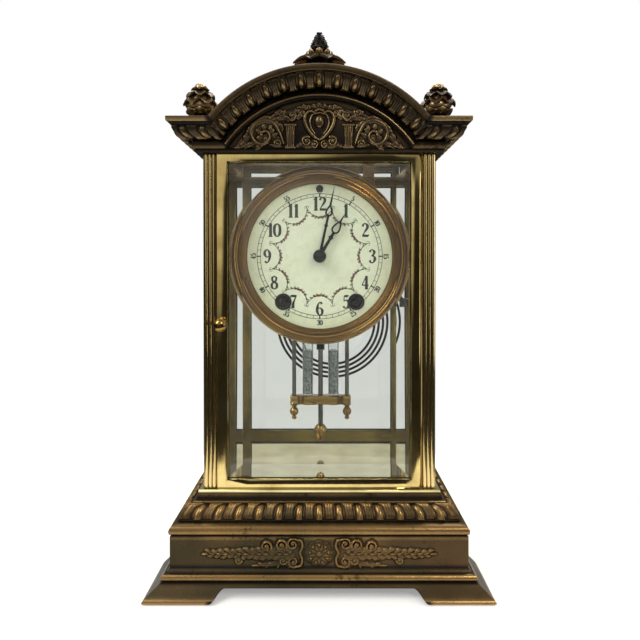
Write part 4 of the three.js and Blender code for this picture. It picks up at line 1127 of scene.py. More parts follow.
def corner_finials():
    core = outline([(0, 0), (4.6, 0), (5.0, 0.8), (4.8, 1.9), (3.8, 2.8), (4.2, 4.2), (6.4, 6.4), (8.8, 9.4),
                    (8.0, 13.4), (6.0, 16.8), (3.6, 19.2), (3.0, 20.2)],
                   [(3.2, 20.8), (4.0, 22.2), (4.0, 23.8), (2.9, 25.3), (1.2, 25.9), (0, 26)])
    petal_rings = ((7, 5.4, 4.4, 6.6, 4.2, 8, 90), (7, 6.2, 13.6, 6.6, 4.8, -22, -64),
                   (7, 4.2, 18.4, 6.2, 4.0, -18, -56), (5, 2.6, 20.8, 3.8, 2.8, 10, -60))
    for end, sy in ENDS:
        for side, sx in FLANKS:
            at = (sx * FINIAL[0], sy * FINIAL[1], 320.0)
            shapes = [turned(core, 40, at=at)]
            for ring, (count, radius, z, length, width, rise, curl) in enumerate(petal_rings):
                for k in range(count):
                    angle = 360 / count * (k + 0.5 * (ring % 2)) + 20
                    a = math.radians(angle)
                    base = (at[0] + radius * math.cos(a), at[1] + radius * math.sin(a), at[2] + z)
                    shapes.append(petal(base, angle, length, width, rise, curl, 1.5))
            for k in range(6):
                a = math.radians(60 * k + 10)
                shapes.append(turned(outline([(0, -1.8), (1.3, -1.3), (1.8, 0), (1.3, 1.3), (0, 1.8)]), 10,
                                     at=(at[0] + 2.7 * math.cos(a), at[1] + 2.7 * math.sin(a), at[2] + 22.8)))
            build(f"bud_finial_{end}_{side}", shapes, BUD_BRONZE,
                  replaces=[f"finial_{end}_{side}"], merge=False, sharp=70)


def pine_cone():
    foot = np.array([0, -69.0, 353.3])
    shapes = [turned(outline([(0, 0), (9.8, 0), (10.4, 1.4), (9.0, 4.0), (8.8, 7.4), (10.2, 9.2), (8.2, 12.2),
                              (4.4, 14.0)],
                             [(4.8, 14.8), (6.0, 16.2), (6.0, 18.4), (4.9, 22.0), (3.0, 26.0), (1.2, 28.4),
                              (0, 29)]),
                     48, at=foot)]
    rings = [(14.4, 5.8), (16.4, 6.0), (18.4, 5.6), (20.3, 4.9), (22.2, 4.1), (24.0, 3.2), (25.8, 2.2),
             (27.4, 1.2)]
    for ring, (z, radius) in enumerate(rings):
        count = max(4, int(round(2 * math.pi * radius / 3.3)))
        for k in range(count):
            angle = 360 / count * (k + 0.5 * (ring % 2))
            a = math.radians(angle)
            base = foot + np.array([(radius - 1.2) * math.cos(a), (radius - 1.2) * math.sin(a), z - 0.8])
            shapes.append(petal(base, angle, 3.0, 1.75, 34, 30, 1.1))
    build("pine_cone_finial", shapes, CONE_BRONZE, replaces=["centre_finial"],
          merge=False, sharp=70)
    leaves = []
    for k in range(8):
        angle = 45 * k + 22.5
        a = math.radians(angle)
        squash = 0.55 + 0.45 * abs(math.cos(a))  # the leaves lie along the arch more than across it
        base = foot + np.array([5.6 * math.cos(a), 4.6 * math.sin(a), 9.4])
        leaves.append(petal(base, angle, 14.6 * squash, 6.0, -10, -26, 2.2))
    for k in range(8):
        angle = 45 * k
        a = math.radians(angle)
        base = foot + np.array([5.2 * math.cos(a), 4.6 * math.sin(a), 11.2])
        leaves.append(petal(base, angle, 7.4, 2.8, 20, 150, 0.9))
    build("finial_leaves", leaves, BUD_BRONZE, merge=False, sharp=70)


# ---- CAD parts shown with rounder edges -----------------------------------------------------
def finished(nodes, material, sharp=30, soft=0.0):
    """Shows CAD nodes as they are, smoothly shaded, with an optional rounding of their edges."""
    for node in nodes:
        source = frame["nodes"][node]
        points = np.array([v.co for v in source.data.vertices]) / MM
        faces = [tuple(face.vertices) for face in source.data.polygons]
        thing = build(f"{node}_finished", [(points, faces, 0.5)], material, body=source["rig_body"],
                      replaces=[node], sharp=sharp)
        if soft:
            bevel = thing.modifiers.new("soft edges", "BEVEL")
            bevel.width = soft * MM
            bevel.segments = 2
            bevel.limit_method = "ANGLE"
            bevel.angle_limit = math.radians(40)
            bevel.use_clamp_overlap = True


def glazing():
    finished(["front_door_glass", "rear_door_glass", "side_glass_left", "side_glass_right"], GLASS,
             sharp=5)
    finished(["floor_plate"], FLOOR_BRASS, soft=0.3)
    finished(["case_top_plate"], BRASS_WORKS, soft=0.3)
    finished([f"{end}_hinge_pin_{where}" for end in ("front", "rear") for where in ("top", "bottom")],
             BRASS_KNOB, soft=0.15)


# ---- dial and hands ---------------------------------------------------------------------------
PRINT = (DIAL_FACE - 0.1, DIAL_FACE + 0.06)  # a thin raised layer on the enamel
HOUR_NUMERALS = 38.4  # radii on the dial
MINUTE_NUMERALS = 48.6
TRACK = (43.4, 45.8)
DIGITS = {  # strokes in a box 10 tall: (points, half widths, closed)
    "0": [([(2.4, 9.8), (4.3, 7.6), (4.3, 2.4), (2.4, 0.2), (0.5, 2.4), (0.5, 7.6)],
           [0.25, 0.7, 0.75, 0.25, 0.7, 0.75, 0.25], True)],
    "1": [([(1.8, 10), (1.8, 0.2)], [0.75, 0.75], False),
          ([(0.2, 7.9), (1.3, 9.0), (1.8, 10)], [0.2, 0.3, 0.4], False),
          ([(0.2, 0.2), (3.4, 0.2)], [0.25, 0.25], False)],
    "2": [([(0.7, 7.6), (1.0, 9.0), (2.5, 9.8), (4.2, 8.3), (3.7, 6.0), (1.8, 3.1), (0.6, 1.0)],
           [0.65, 0.4, 0.3, 0.75, 0.65, 0.3, 0.25], False),
          ([(0.3, 0.6), (2.4, 0.75), (4.8, 0.6)], [0.45, 0.65, 0.55], False),
          ([(4.8, 0.5), (4.9, 2.0)], [0.4, 0.15], False)],
    "3": [([(0.7, 8.0), (1.2, 9.4), (2.7, 9.8), (4.0, 8.2), (3.2, 6.2), (1.8, 5.4)],
           [0.65, 0.35, 0.3, 0.7, 0.5, 0.25], False),
          ([(1.8, 5.4), (3.8, 4.8), (4.4, 2.8), (3.2, 0.5), (1.4, 0.3), (0.6, 2.0)],
           [0.25, 0.5, 0.8, 0.35, 0.35, 0.7], False)],
    "4": [([(3.4, 10), (1.8, 6.5), (0.2, 3.0)], [0.3, 0.25, 0.25], False),
          ([(0.2, 3.0), (5.0, 3.0)], [0.3, 0.3], False), ([(3.5, 10), (3.5, 0.2)], [0.6, 0.75], False),
          ([(2.3, 0.2), (4.7, 0.2)], [0.25, 0.25], False)],
    "5": [([(1.1, 9.4), (2.8, 9.2), (4.4, 9.7)], [0.35, 0.7, 0.3], False),
          ([(1.1, 9.5), (0.9, 5.3)], [0.25, 0.25], False),
          ([(0.9, 5.3), (2.6, 6.2), (4.3, 4.8), (4.3, 2.0), (2.7, 0.3), (1.1, 0.5), (0.7, 1.8)],
           [0.2, 0.3, 0.7, 0.75, 0.3, 0.35, 0.65], False)],
    "6": [([(4.0, 8.6), (3.0, 9.8), (1.5, 8.8), (0.6, 5.8), (0.6, 2.6), (2.2, 0.2), (4.0, 1.2), (4.3, 3.6),
            (2.8, 5.6), (1.1, 4.6)], [0.65, 0.3, 0.35, 0.7, 0.7, 0.25, 0.55, 0.7, 0.3, 0.2], False)],
    "7": [([(0.3, 8.2), (0.8, 9.3), (2.6, 9.2), (4.6, 9.7)], [0.2, 0.5, 0.7, 0.3], False),
          ([(4.6, 9.7), (3.0, 6.0), (2.1, 3.2), (2.0, 0.2)], [0.25, 0.4, 0.7, 0.8], False)],
    "8": [([(2.4, 9.8), (3.9, 8.3), (3.4, 6.3), (2.3, 5.4), (1.1, 6.4), (0.9, 8.4)],
           [0.25, 0.55, 0.5, 0.5, 0.5, 0.6, 0.25], True),
          ([(2.3, 5.4), (4.2, 4.0), (4.2, 1.6), (2.4, 0.2), (0.6, 1.6), (0.7, 4.0)],
           [0.35, 0.65, 0.65, 0.25, 0.65, 0.6, 0.35], True)],
}
DIGITS["9"] = [([(4.8 - x, 10 - y) for x, y in path], widths, closed) for path, widths, closed in DIGITS["6"]]
ADVANCE = {"0": 4.8, "1": 3.4, "2": 5.0, "3": 4.8, "4": 5.0, "5": 4.8, "6": 4.8, "7": 4.8, "8": 4.8, "9": 4.8}


def written(text, x, z, height, turn=0.0, bold=1.3):
    """A number centred at (x, z), turned clockwise by turn radians."""
    unit = height / 10
    gap = 0.9
    width = sum(ADVANCE[c] for c in text) + gap * (len(text) - 1)
    pen = -width / 2
    shapes = []
    for c in text:
        for path, widths, closed in DIGITS[c]:
            placed = []
            for px, pz in path:
                a, b = (pen + px) * unit, (pz - 5) * unit
                placed.append((x + a * math.cos(turn) + b * math.sin(turn),
                               z - a * math.sin(turn) + b * math.cos(turn)))
            shapes.append(ribbon(placed, [w * unit * bold for w in widths], *PRINT, steps=5, closed=closed))
        pen += ADVANCE[c] + gap
    return shapes


def polar(r, angle):
    """A point on the dial; the angle runs clockwise from the top."""
    return r * math.sin(angle), DIAL_Z + r * math.cos(angle)


def annulus(r, half):
    """A printed circle round the dial."""
    y0, y1 = PRINT
    return turned([(r - half, y0), (r + half, y0), (r + half, y1), (r - half, y1), (r - half, y0)],
                  120, "Y", (0, 0, DIAL_Z), tone=0.5)


def dial():
    finished(["dial"], PORCELAIN, sharp=40)
    numerals = []
    for hour in range(1, 13):
        x, z = polar(HOUR_NUMERALS, hour * math.pi / 6)
        numerals += written(str(hour), x, z, 9.8, bold=1.45)
    build("hour_numerals", numerals, NUMERAL_INK, merge=False)
    track = [annulus(r, 0.2) for r in TRACK]
    for minute in range(60):
        angle = minute * math.pi / 30
        bold = minute % 5 == 0
        reach = (43.0, 46.3) if bold else TRACK
        track.append(ribbon([polar(reach[0], angle), polar(reach[1], angle)], [0.5 if bold else 0.16] * 2,
                            *PRINT, steps=1))
    build("minute_track", track, TRACK_INK, merge=False)
    small = []
    for minute in range(5, 65, 5):
        angle = minute * math.pi / 30
        inward = 20 <= minute <= 40
        x, z = polar(MINUTE_NUMERALS, angle)
        small += written(str(minute), x, z, 3.7, angle + (math.pi if inward else 0), 1.9)
    build("minute_numerals", small, NUMERAL_INK, merge=False)
    vines, leaves, roses = [], [], []

    def swag(share):
        """How far out a swag hangs; share is 0 at the hour and 1 half-way to the next."""
        return 28.4 + 9.4 * (1 - math.sqrt(max(0.0, 1 - 0.985 * share ** 2)))
    for hour in range(12):
        middle = hour * math.pi / 6
        line = []
        for share in np.sin(np.linspace(-math.pi / 2, math.pi / 2, 31)):
            line.append(polar(swag(share), middle + share * math.pi / 12))
        vines.append(ribbon(line, [0.16, 0.26, 0.34, 0.26, 0.16], *PRINT, steps=2))
        for side in (-1, 1):
            curl = [polar(36.6 + 1.4 * math.sin(k), middle + side * (math.pi / 12 + 0.02 * (1 - math.cos(k))))
                    for k in np.linspace(0, 3.6, 8)]
            vines.append(ribbon(curl, [0.2, 0.12], *PRINT, steps=2))
        for k, share in enumerate(np.linspace(-0.9, 0.9, 14)):
            r = swag(share)
            side = 1 if k % 2 else -1
            angle = middle + share * math.pi / 12
            way = 1 if share > 0 else -1
            start, tip = polar(r, angle), polar(r + side * 1.1 + abs(share), angle + 0.05 * way)
            bend = polar(r + side * 0.75, angle + 0.018 * way)
            leaves.append(ribbon([start, bend, tip], [0.1, 0.5, 0.05], *PRINT, steps=3))
        for share, size in ((0, 1.25), (-0.34, 0.95), (0.34, 0.95), (-0.6, 0.65), (0.6, 0.65)):
            x, z = polar(28.6 + 1.2 * abs(share), middle + share * math.pi / 12)
            for petal_turn in range(5):
                a = petal_turn * 2 * math.pi / 5 + hour
                petal_line = [(x, z), (x + size * 0.55 * math.cos(a), z + size * 0.55 * math.sin(a)),
                              (x + size * math.cos(a), z + size * math.sin(a))]
                roses.append(ribbon(petal_line, [0.1, size * 0.42, 0.08], *PRINT, steps=3))
    build("vine_swags", vines, VINE_INK, merge=False)
    build("vine_leaves", leaves, VINE_INK, merge=False)
    build("painted_roses", roses, ROSE_INK, merge=False)
    grommet = outline([(3.1, -46.4), (3.1, -47.2)],
                      [(3.9, -47.9), (4.9, -48.4), (5.7, -48.2), (6.1, -47.6), (6.1, -47.1)],
                      [(4.2, -46.6), (3.1, -46.4)], steps=4)
    for side, name in ((-1, "left"), (1, "right")):
        build(f"winding_grommet_{name}",
              [turned(grommet, 40, "Y", (side * WINDING[0], 0, DIAL_Z + WINDING[1]))], BLACK)


def bezel():
    section = outline([(63.6, -44.4), (63.6, -49.2)],
                      [(63.5, -49.8), (62.6, -51.3), (61.0, -52.0), (59.7, -51.3)],
                      [(59.5, -50.6), (58.9, -49.9), (58.2, -49.9), (57.8, -50.5), (57.0, -50.7),
                       (56.3, -50.2)],
                      [(56.1, -49.6), (55.3, -49.8), (54.7, -49.5)],
                      [(54.2, -48.9), (53.6, -48.9), (53.0, -48.3)],
                      [(53.0, -47.5), (54.8, -47.5)], [(54.8, -44.4), (63.6, -44.4)], steps=4)
    # painted highlight on the ridges, painted shade in the hollows of the section
    tone = np.repeat(relief_tone(section, 0.8)[:-1], 160)
    build("bezel_ring", [turned(section, 160, "Y", (0, 0, DIAL_Z), tone)], COPPER_BRASS,
          replaces=["bezel"], sharp=40)


def spun(shapes, angle):
    """Turns shapes clockwise about the middle of the dial."""
    out = []
    for points, faces, tone in shapes:
        x, z = points[:, 0].copy(), points[:, 2] - DIAL_Z
        points = points.copy()
        points[:, 0] = x * math.cos(angle) + z * math.sin(angle)
        points[:, 2] = DIAL_Z - x * math.sin(angle) + z * math.cos(angle)
        out.append((points, faces, tone))
    return out


def hand(name, angle, layer, tip, loop, swelling, hub, stem):
    """A moon hand: stem from the hub, diamond swelling, open loop, then a needle to the tip."""
    y0, y1 = layer
    z0 = DIAL_Z
    low, high, half, widest = loop
    ring = []
    for t in np.linspace(0, 2 * math.pi, 16, endpoint=False):
        rise = (1 - math.cos(t)) / 2
        at = low + (high - low) * rise
        bulge = math.sin(t) * half * (1.3 - 0.9 * (rise - widest))
        ring.append((bulge, z0 + at))
    shapes = [
        turned([(2.7, y0), (hub, y0), (hub, y1), (2.7, y1), (2.7, y0)], 40, "Y", (0, 0, z0), tone=0.5),
        ribbon([(0, z0 + hub - 0.4), (0, z0 + swelling - 1.6), (0, z0 + swelling), (0, z0 + swelling + 1.6),
                (0, z0 + low + 0.4)],
               [stem * 1.25, stem, stem * 2.1, stem, stem * 1.1], y0, y1, steps=3),
        ribbon(ring, [0.62] * 9, y0, y1, steps=3, closed=True),
        ribbon([(0, z0 + high - 0.4), (0, z0 + high + (tip - high) * 0.35), (0, z0 + tip)],
               [0.85, 0.62, 0.12], y0, y1, steps=4),
    ]
    build(name, spun(shapes, angle), BLACK, body=name, replaces=[name], merge=False)


def hands():
    hand("hour_hand", math.radians(31), (-50.6, -49.8), 36.0, (19.9, 28.8, 2.2, 0.25), 15.6, 4.6, 1.0)
    hand("minute_hand", math.radians(12), (-52.9, -52.2), 51.6, (29.8, 36.8, 1.8, 0.25), 22.4, 4.2, 0.85)
    nut = outline([(1.9, -53.2), (4.2, -53.2), (4.6, -53.6), (4.8, -54.6), (4.3, -56.2), (3.1, -57.5),
                   (1.5, -58.1), (0, -58.2)])
    thing = build("hand_nut_dome",
                  [turned(np.vstack([nut, [(0, -53.3), (1.9, -53.2)]]), 48, "Y", (0, 0, DIAL_Z))],
                  BLACK_NUT, body="minute_hand", replaces=["hand_nut"])
    slot = scratch("nut_slot", block(-6, 6, -59, -56.4, DIAL_Z - 0.5, DIAL_Z + 0.5, soft=0.02))
    carve(thing, ("DIFFERENCE", slot))


# ---- pendulum, gong and works -------------------------------------------------------------------
def pendulum():
    y = PENDULUM_Y
    finished(["pendulum_rod"], STEEL, sharp=40)
    finished(["suspension_spring", "suspension_cock"], BRASS_WORKS, sharp=40)
    rods = [turned([(0, 103.7), (1.7, 103.7), (1.7, 169.5), (0, 169.5)], 24, at=(side * ROD_X, y, 0))
            for side in (-1, 1)]
    clamp = block(-3.4, 3.4, y - 3, y + 3, 150, 156.5, soft=0.6)
    build("side_rods", rods, STEEL, body="pendulum", replaces=["pendulum_frame"], sharp=40)
    build("top_bar", [block(-25.5, 25.5, y - 3.2, y + 3.2, 169, 175, soft=0.8), clamp], BRASS_BAR,
          body="pendulum", merge=False)
    drop = outline([(0, 103.9), (3.0, 103.9), (3.2, 103.2), (2.4, 102.5)],
                   [(1.7, 101.8), (2.6, 100.6), (3.6, 98.6), (3.5, 96.6), (2.2, 94.8), (1.3, 94.2)],
                   [(1.3, 93.8), (2.0, 93.0), (1.9, 91.9), (0.9, 91.1), (0, 91.0)])
    build("drop_finials", [turned(drop, 32, at=(side * ROD_X, y, 0)) for side in (-1, 1)], BRASS_KNOB,
          body="pendulum")
    front = [(x, -4.2 - 1.2 * math.cos(2 * math.pi * x / 21.6 + math.pi))
             for x in np.linspace(-25.4, 25.4, 61)]
    plan = front + [(x, -depth) for x, depth in front[::-1]]
    edges = [(0.4, 104.0), (0, 104.5), (0, 107.2), (0.45, 107.6), (0.45, 108.2), (0, 108.6), (0, 111.1),
             (0.5, 111.7)]
    rows = [[(px - math.copysign(inset, px), y + py - math.copysign(inset, py), z) for px, py in plan]
            for inset, z in edges]
    build("wavy_bar", [skin(rows, wrap_columns=True, caps=True)], BRASS_BAR, body="pendulum",
          replaces=["pendulum_bottom_bar"])
    finished(["rating_nut"], BRASS_KNOB, sharp=40)
    glass, silver, caps = [], [], []
    for side in (-1, 1):
        at = (side * VIAL_X, y, 0)
        glass.append(turned([(0, 112.1), (4.3, 112.1), (4.5, 112.6), (4.5, 161.4), (4.35, 162.0),
                             (4.2, 161.4), (4.2, 112.7), (0, 112.7)], 48, at=at, tone=0.5))
        silver.append(turned([(0, 112.8), (4.0, 112.8), (4.1, 113.3), (4.1, 148.4), (3.4, 149.2), (0, 149.4)],
                             48, at=at, tone=0.5))
        caps.append(turned([(0.0, 158.6), (3.7, 158.6), (3.7, 160.9), (2.4, 161.5), (0.0, 161.7)], 40, at=at,
                           tone=0.5))
    for name, shapes, material, slot, nodes in (
        ("vial_glass", glass, VIAL_GLASS, "glass", ["mercury_vial_left", "mercury_vial_right"]),
        ("vial_mercury", silver, MERCURY, "steel", []),
        ("vial_stoppers", caps, BRASS_WORKS, "polished_brass", []),
    ):
        build(name, shapes, material, body="pendulum", replaces=nodes, sharp=40)


def gong():
    turns, start, centre = 3.75, math.radians(42.5), (9.5, 45.0, 171.0)
    outer, inner = 49.9, 35.65
    path = []
    steps = 260
    for i in range(steps + 1):
        t = i / steps
        angle = start - turns * 2 * math.pi * t
        r = outer + (inner - outer) * t
        path.append((centre[0] + r * math.cos(angle), centre[1], centre[2] + r * math.sin(angle)))
    coil = tube(path, 1.1)
    build("gong_wire", [coil], BLACK, replaces=["gong_coil"], sharp=60)


def toothed(radius, teeth, y0, y1, bore, depth=1.2):
    """A toothed ring about the Y axis."""
    flank = ((-0.36, depth), (-0.22, 0.3 * depth), (-0.1, 0), (0.1, 0), (0.22, 0.3 * depth), (0.36, depth))
    outer, inner = [], []
    for tooth in range(teeth):
        for share, drop in flank:
            a = 2 * math.pi * (tooth + share) / teeth
            outer.append(((radius - drop) * math.cos(a), (radius - drop) * math.sin(a)))
            inner.append((bore * math.cos(a), bore * math.sin(a)))
    rings = ((outer, y0), (outer, y1), (inner, y1), (inner, y0))
    return skin([[(x, y, z) for x, z in ring] for ring, y in rings], wrap_columns=True, wrap_rows=True)


def collar(radius, y0, y1, bore=SHAFT - 0.1):
    """A ring about the Y axis with chamfered rims."""
    edge = 0.25
    section = [(bore, y0), (radius - edge, y0), (radius, y0 + edge), (radius, y1 - edge), (radius - edge, y1),
               (bore, y1), (bore, y0)]
    return turned(section, 48, "Y", tone=0.5)


def crossed_out(radius, teeth, y0, y1, spokes=5):
    """A wheel with a toothed rim, a hub and tapered spokes."""
    bore = radius - 3.2
    shapes = [toothed(radius, teeth, y0, y1, bore), collar(3.5, y0 - 0.4, y1 + 0.4)]
    for k in range(spokes):
        a = 2 * math.pi * k / spokes
        path = [(r * math.cos(a), r * math.sin(a)) for r in (3.0, 0.5 * (3.0 + bore), bore + 0.4)]
        shapes.append(ribbon(path, [1.4, 0.8, 1.2], y0 + 0.15, y1 - 0.15, steps=3))
    return shapes


def shaft(*steps):
    """A turned shaft about the Y axis; steps are (radius, from, to), one after the other."""
    section = [(0, steps[0][1])]
    for radius, y0, y1 in steps:
        section += [(radius, y0), (radius, y1)]
    return turned(section + [(0, steps[-1][2])], 24, "Y", tone=0.5)


def arbor(pinion_radius, leaves, pinion):
    """A shaft between the plates with fine pivots and a leafed pinion."""
    front, back = FRONT_PLATE[1] + 0.3, BACK_PLATE[0] - 0.3
    return [shaft((PIVOT, front - 2, front), (SHAFT, front, back), (PIVOT, back, back + 2)),
            toothed(pinion_radius, leaves, *pinion, SHAFT - 0.1, depth=0.9)]


def mounted(node, at, shapes, material=BRASS_WORKS):
    """Shapes about a movement axis, in place of the CAD node of that name."""
    x, z = at
    placed = [(points + np.array([x, 0, DIAL_Z + z]), faces, tone) for points, faces, tone in shapes]
    build(f"{node}_made", placed, material, body=frame["nodes"][node]["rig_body"], replaces=[node],
          sharp=35)


def trains():
    mounted("second_wheel", SECOND, crossed_out(16.1, 40, -10, -8.5) + arbor(3.0, 8, (-18, -14)))
    mounted("third_wheel", THIRD, crossed_out(15.0, 38, -14, -12.5) + arbor(2.5, 6, (-6.5, -3)))
    mounted("escape_wheel", ESCAPE, crossed_out(11.0, 30, -24, -22.5, 4) + arbor(2.5, 6, (-15, -11.5)))
    mounted("strike_wheel", STRIKE_SECOND, crossed_out(15.0, 38, -13.4, -11.9) + arbor(3.0, 8, (-18, -14.5)))
    mounted("fly", FLY, arbor(2.5, 6, (-14.5, -11)) + [block(-7, 7, -35.2, -32.4, -0.6, 0.6, soft=0.2)],
            STEEL)
    centre = shaft((1.0, -54.2, -52), (1.3, -52, -41), (3, -41, -39), (1.3, -39, -11), (SHAFT, -11, -0.3),
                   (PIVOT, -0.3, 1.7))
    mounted("centre_wheel", CENTRE,
            crossed_out(18.0, 45, -5.5, -4) + [centre, toothed(3.0, 8, -11, -7.5, 1.1, 0.9)])
    stud = shaft((2.4, -44.8, -42), (SHAFT, -42, -38.3), (PIVOT, -38.3, -36.3))
    mounted("minute_wheel", MINUTE, crossed_out(9.0, 36, -41, -39.6, 4) + [stud])
    pipe = [(1.7, -50.6), (2.6, -50.6), (2.6, -44), (3.4, -44), (3.4, -42.2), (1.7, -42.2), (1.7, -50.6)]
    mounted("hour_wheel", CENTRE, [turned(pipe, 40, "Y", tone=0.5), toothed(9.5, 40, -44.8, -43.4, 2.4)])
    drum = [(2.6, -32), (4.4, -32), (4.7, -31.5), (16.6, -31.5), (17.0, -32), (18.2, -32), (18.5, -31.7),
            (18.5, -17.3), (18.2, -17), (2.6, -17), (2.6, -32)]
    for name, at in (("time", TIME_AXIS), ("strike", STRIKE_AXIS)):
        mounted(f"{name}_barrel", at, [turned(drum, 96, "Y", tone=0.5), toothed(20.0, 50, -17.5, -15.2, 18.0),
                                       collar(18.2, -17.2, -15.6, bore=2.6)])


def screws(name, places, y, radius=2.4):
    """Slotted screw heads on a face at y that looks backwards."""
    heads = [turned([(0, y), (radius, y), (radius, y + 0.9), (radius - 0.5, y + 1.3), (0, y + 1.4)], 28, "Y",
                    (x, 0, DIAL_Z + z), 0.5)
             for x, z in places]
    thing = build(name, heads, STEEL, sharp=35)
    slots = [block(x - 3, x + 3, y + 0.8, y + 2, DIAL_Z + z - 0.35, DIAL_Z + z + 0.35, soft=0.02)
             for x, z in places]
    carve(thing, *[("DIFFERENCE", scratch("slot", slot)) for slot in slots])


def plate(node, layer, pivots, wide):
    """A round plate with fine pivot holes and wide holes, each (radius, x, z)."""
    y0, y1 = layer
    radius = 60.0
    disc = turned([(0, y0), (radius - 0.3, y0), (radius, y0 + 0.3), (radius, y1 - 0.3), (radius - 0.3, y1),
                   (0, y1)], 144,
                  "Y", (0, 0, DIAL_Z), 0.5)
    thing = build(f"{node}_made", [disc], BRASS_WORKS, replaces=[node])
    holes = [(PIVOT + 0.25, x, z) for x, z in pivots] + wide
    drills = [turned([(0, y0 - 1), (r, y0 - 1), (r, y1 + 1), (0, y1 + 1)], 24, "Y", (x, 0, DIAL_Z + z), 0.5)
              for r, x, z in holes]
    carve(thing, *[("DIFFERENCE", scratch("drill", drill)) for drill in drills])


def works():
    trains()
    winding = [(2.6, *TIME_AXIS), (2.6, *STRIKE_AXIS)]
    shared = [SECOND, THIRD, ESCAPE, STRIKE_SECOND, FLY]
    plate("front_plate", FRONT_PLATE, shared + [ANCHOR, MINUTE, HAMMER], winding + [(1.6, *CENTRE)])
    plate("back_plate", BACK_PLATE, shared + [CENTRE], winding + [(1.6, *ANCHOR), (1.6, *HAMMER)])
    screws("pillar_screws", PILLARS, BACK_PLATE[1])
    pillar = outline([(0, -35.7), (3.4, -35.7), (3.4, -34.2)], [(2.6, -33.4), (3.0, -18.0), (2.6, -2.6)],
                     [(3.4, -1.8), (3.4, -0.3), (0, -0.3)])
    for k, at in enumerate(PILLARS):
        mounted(f"pillar_{k + 1}", at, [turned(pillar, 40, "Y", tone=0.5)])
    ring = [(56.0, -44.1), (64.7, -44.1), (65.0, -43.8), (65.0, -38.6), (64.7, -38.3), (56.0, -38.3),
            (56.0, -44.1)]
    straps = [block(*sorted((side * 63, side * 75.9)), -43, -40, -5, 5, soft=0.3) for side in (-1, 1)]
    mounted("movement_ring", CENTRE, [turned(ring, 144, "Y", tone=0.5)] + straps)
    screws("strap_screws", [(-70.5, 0), (70.5, 0)], -40.0, radius=2.0)
    finished(["time_winding_arbor", "strike_winding_arbor", "regulator_arbor"], BLACK)
    finished(["anchor", "hammer"], STEEL, soft=0.15)


# ---- stage ------------------------------------------------------------------------------------------
def lamp(name, place, towards, size, power, colour=(1, 1, 1)):
    data = bpy.data.lights.new(name, "AREA")
    data.shape = "RECTANGLE"
    data.size, data.size_y = size
    data.energy = power
    data.color = colour
    thing = bpy.data.objects.new(name, data)
    thing.location = place
    thing.rotation_euler = (Vector(towards) - Vector(place)).to_track_quat("-Z", "Y").to_euler()
    bpy.context.scene.collection.objects.link(thing)


def table():
    """The round white table top under the feet; it rides with the case."""
    top, under, edge = -0.3, -0.4, 300
    disc = turned([(0, top), (edge, top), (edge, under), (0, under)], 96, at=(0, -50, 0), tone=0.5)
    floor = build("floor", [disc], FLOOR)


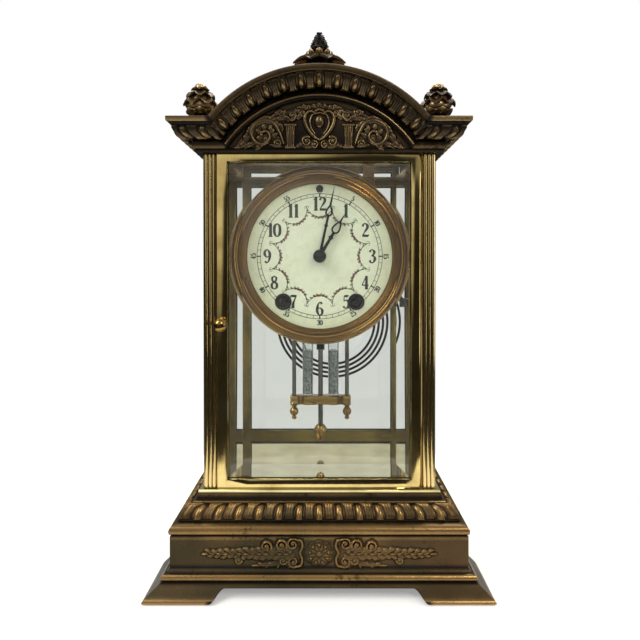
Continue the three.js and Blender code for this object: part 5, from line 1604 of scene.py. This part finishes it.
def room():
    """A dark room with a bright window in reflections, a pale wall through glass, white to the camera."""
    world = bpy.data.worlds.new("studio")
    bpy.context.scene.world = world
    world.use_nodes = True
    tree = world.node_tree
    path = tree.nodes.new("ShaderNodeLightPath")
    where = tree.nodes.new("ShaderNodeTexCoord")
    split = tree.nodes.new("ShaderNodeSeparateXYZ")
    tree.links.new(where.outputs["Generated"], split.inputs["Vector"])
    sky = tree.nodes.new("ShaderNodeValToRGB")
    while len(sky.color_ramp.elements) < len(ROOM_GREYS):
        sky.color_ramp.elements.new(0.5)
    for element, (place, grey) in zip(sky.color_ramp.elements, ROOM_GREYS):
        element.position = place
        element.color = (grey, grey * 0.97, grey * 0.9, 1)
    height = tree.nodes.new("ShaderNodeMath")
    height.operation = "MULTIPLY_ADD"
    tree.links.new(split.outputs["Z"], height.inputs[0])
    height.inputs[1].default_value = 0.5
    height.inputs[2].default_value = 0.5
    tree.links.new(height.outputs["Value"], sky.inputs["Fac"])
    aim = tree.nodes.new("ShaderNodeVectorMath")
    aim.operation = "DOT_PRODUCT"
    tree.links.new(where.outputs["Generated"], aim.inputs[0])
    aim.inputs[1].default_value = Vector(WINDOW_TOWARDS).normalized()
    patch = tree.nodes.new("ShaderNodeMapRange")
    patch.interpolation_type = "SMOOTHERSTEP"
    patch.inputs["From Min"].default_value = WINDOW_EDGE[0]
    patch.inputs["From Max"].default_value = WINDOW_EDGE[1]
    patch.inputs["To Max"].default_value = WINDOW_SHARE
    tree.links.new(aim.outputs["Value"], patch.inputs["Value"])
    seen = sky.outputs["Color"]
    for share, colour in ((patch.outputs["Result"], WINDOW_COLOUR),
                          (path.outputs["Is Transmission Ray"], WALL_COLOUR),
                          (path.outputs["Is Camera Ray"], (1, 1, 1, 1))):
        mix = tree.nodes.new("ShaderNodeMix")
        mix.data_type = "RGBA"
        tree.links.new(share, mix.inputs[0])
        tree.links.new(seen, mix.inputs[MIX_COLOURS[0]])
        mix.inputs[MIX_COLOURS[1]].default_value = colour
        seen = mix.outputs[MIX_RESULT]
    tree.links.new(seen, tree.nodes["Background"].inputs["Color"])


def lamps():
    lamp("key_softbox", (-0.8, -0.7, 1.0), (0, 0, 0.2), (0.6, 0.8), 9)
    lamp("right_strip", (0.9, -0.5, 0.3), (0, 0, 0.1), (0.15, 0.6), 1.1, (1, 0.97, 0.9))
    lamp("front_fill", (0.45, -1.2, 0.95), (0, 0, 0.25), (0.3, 0.3), 3.5, (1, 0.95, 0.86))
    lamp("top_rim", (0.1, 0.45, 1.1), (0, 0, 0.3), (0.9, 0.4), 7)


def camera():
    data = bpy.data.cameras.new("camera")
    data.lens = CAMERA_LENS
    data.sensor_width = 36
    data.shift_x, data.shift_y = CAMERA_SHIFT
    data.clip_start = 0.01
    thing = bpy.data.objects.new("camera", data)
    thing.location = CAMERA_AT
    thing.rotation_euler = (math.radians(90 - CAMERA_DIP), 0, 0)
    bpy.context.scene.collection.objects.link(thing)
    bpy.context.scene.camera = thing
    bpy.context.scene.view_settings.view_transform = "Standard"


base()
plinth()
posts()
doors()
rails()
glazing()
top()
top_bands()
tympana()
corner_finials()
pine_cone()
dial()
bezel()
hands()
pendulum()
gong()
works()
table()
room()
lamps()
camera()
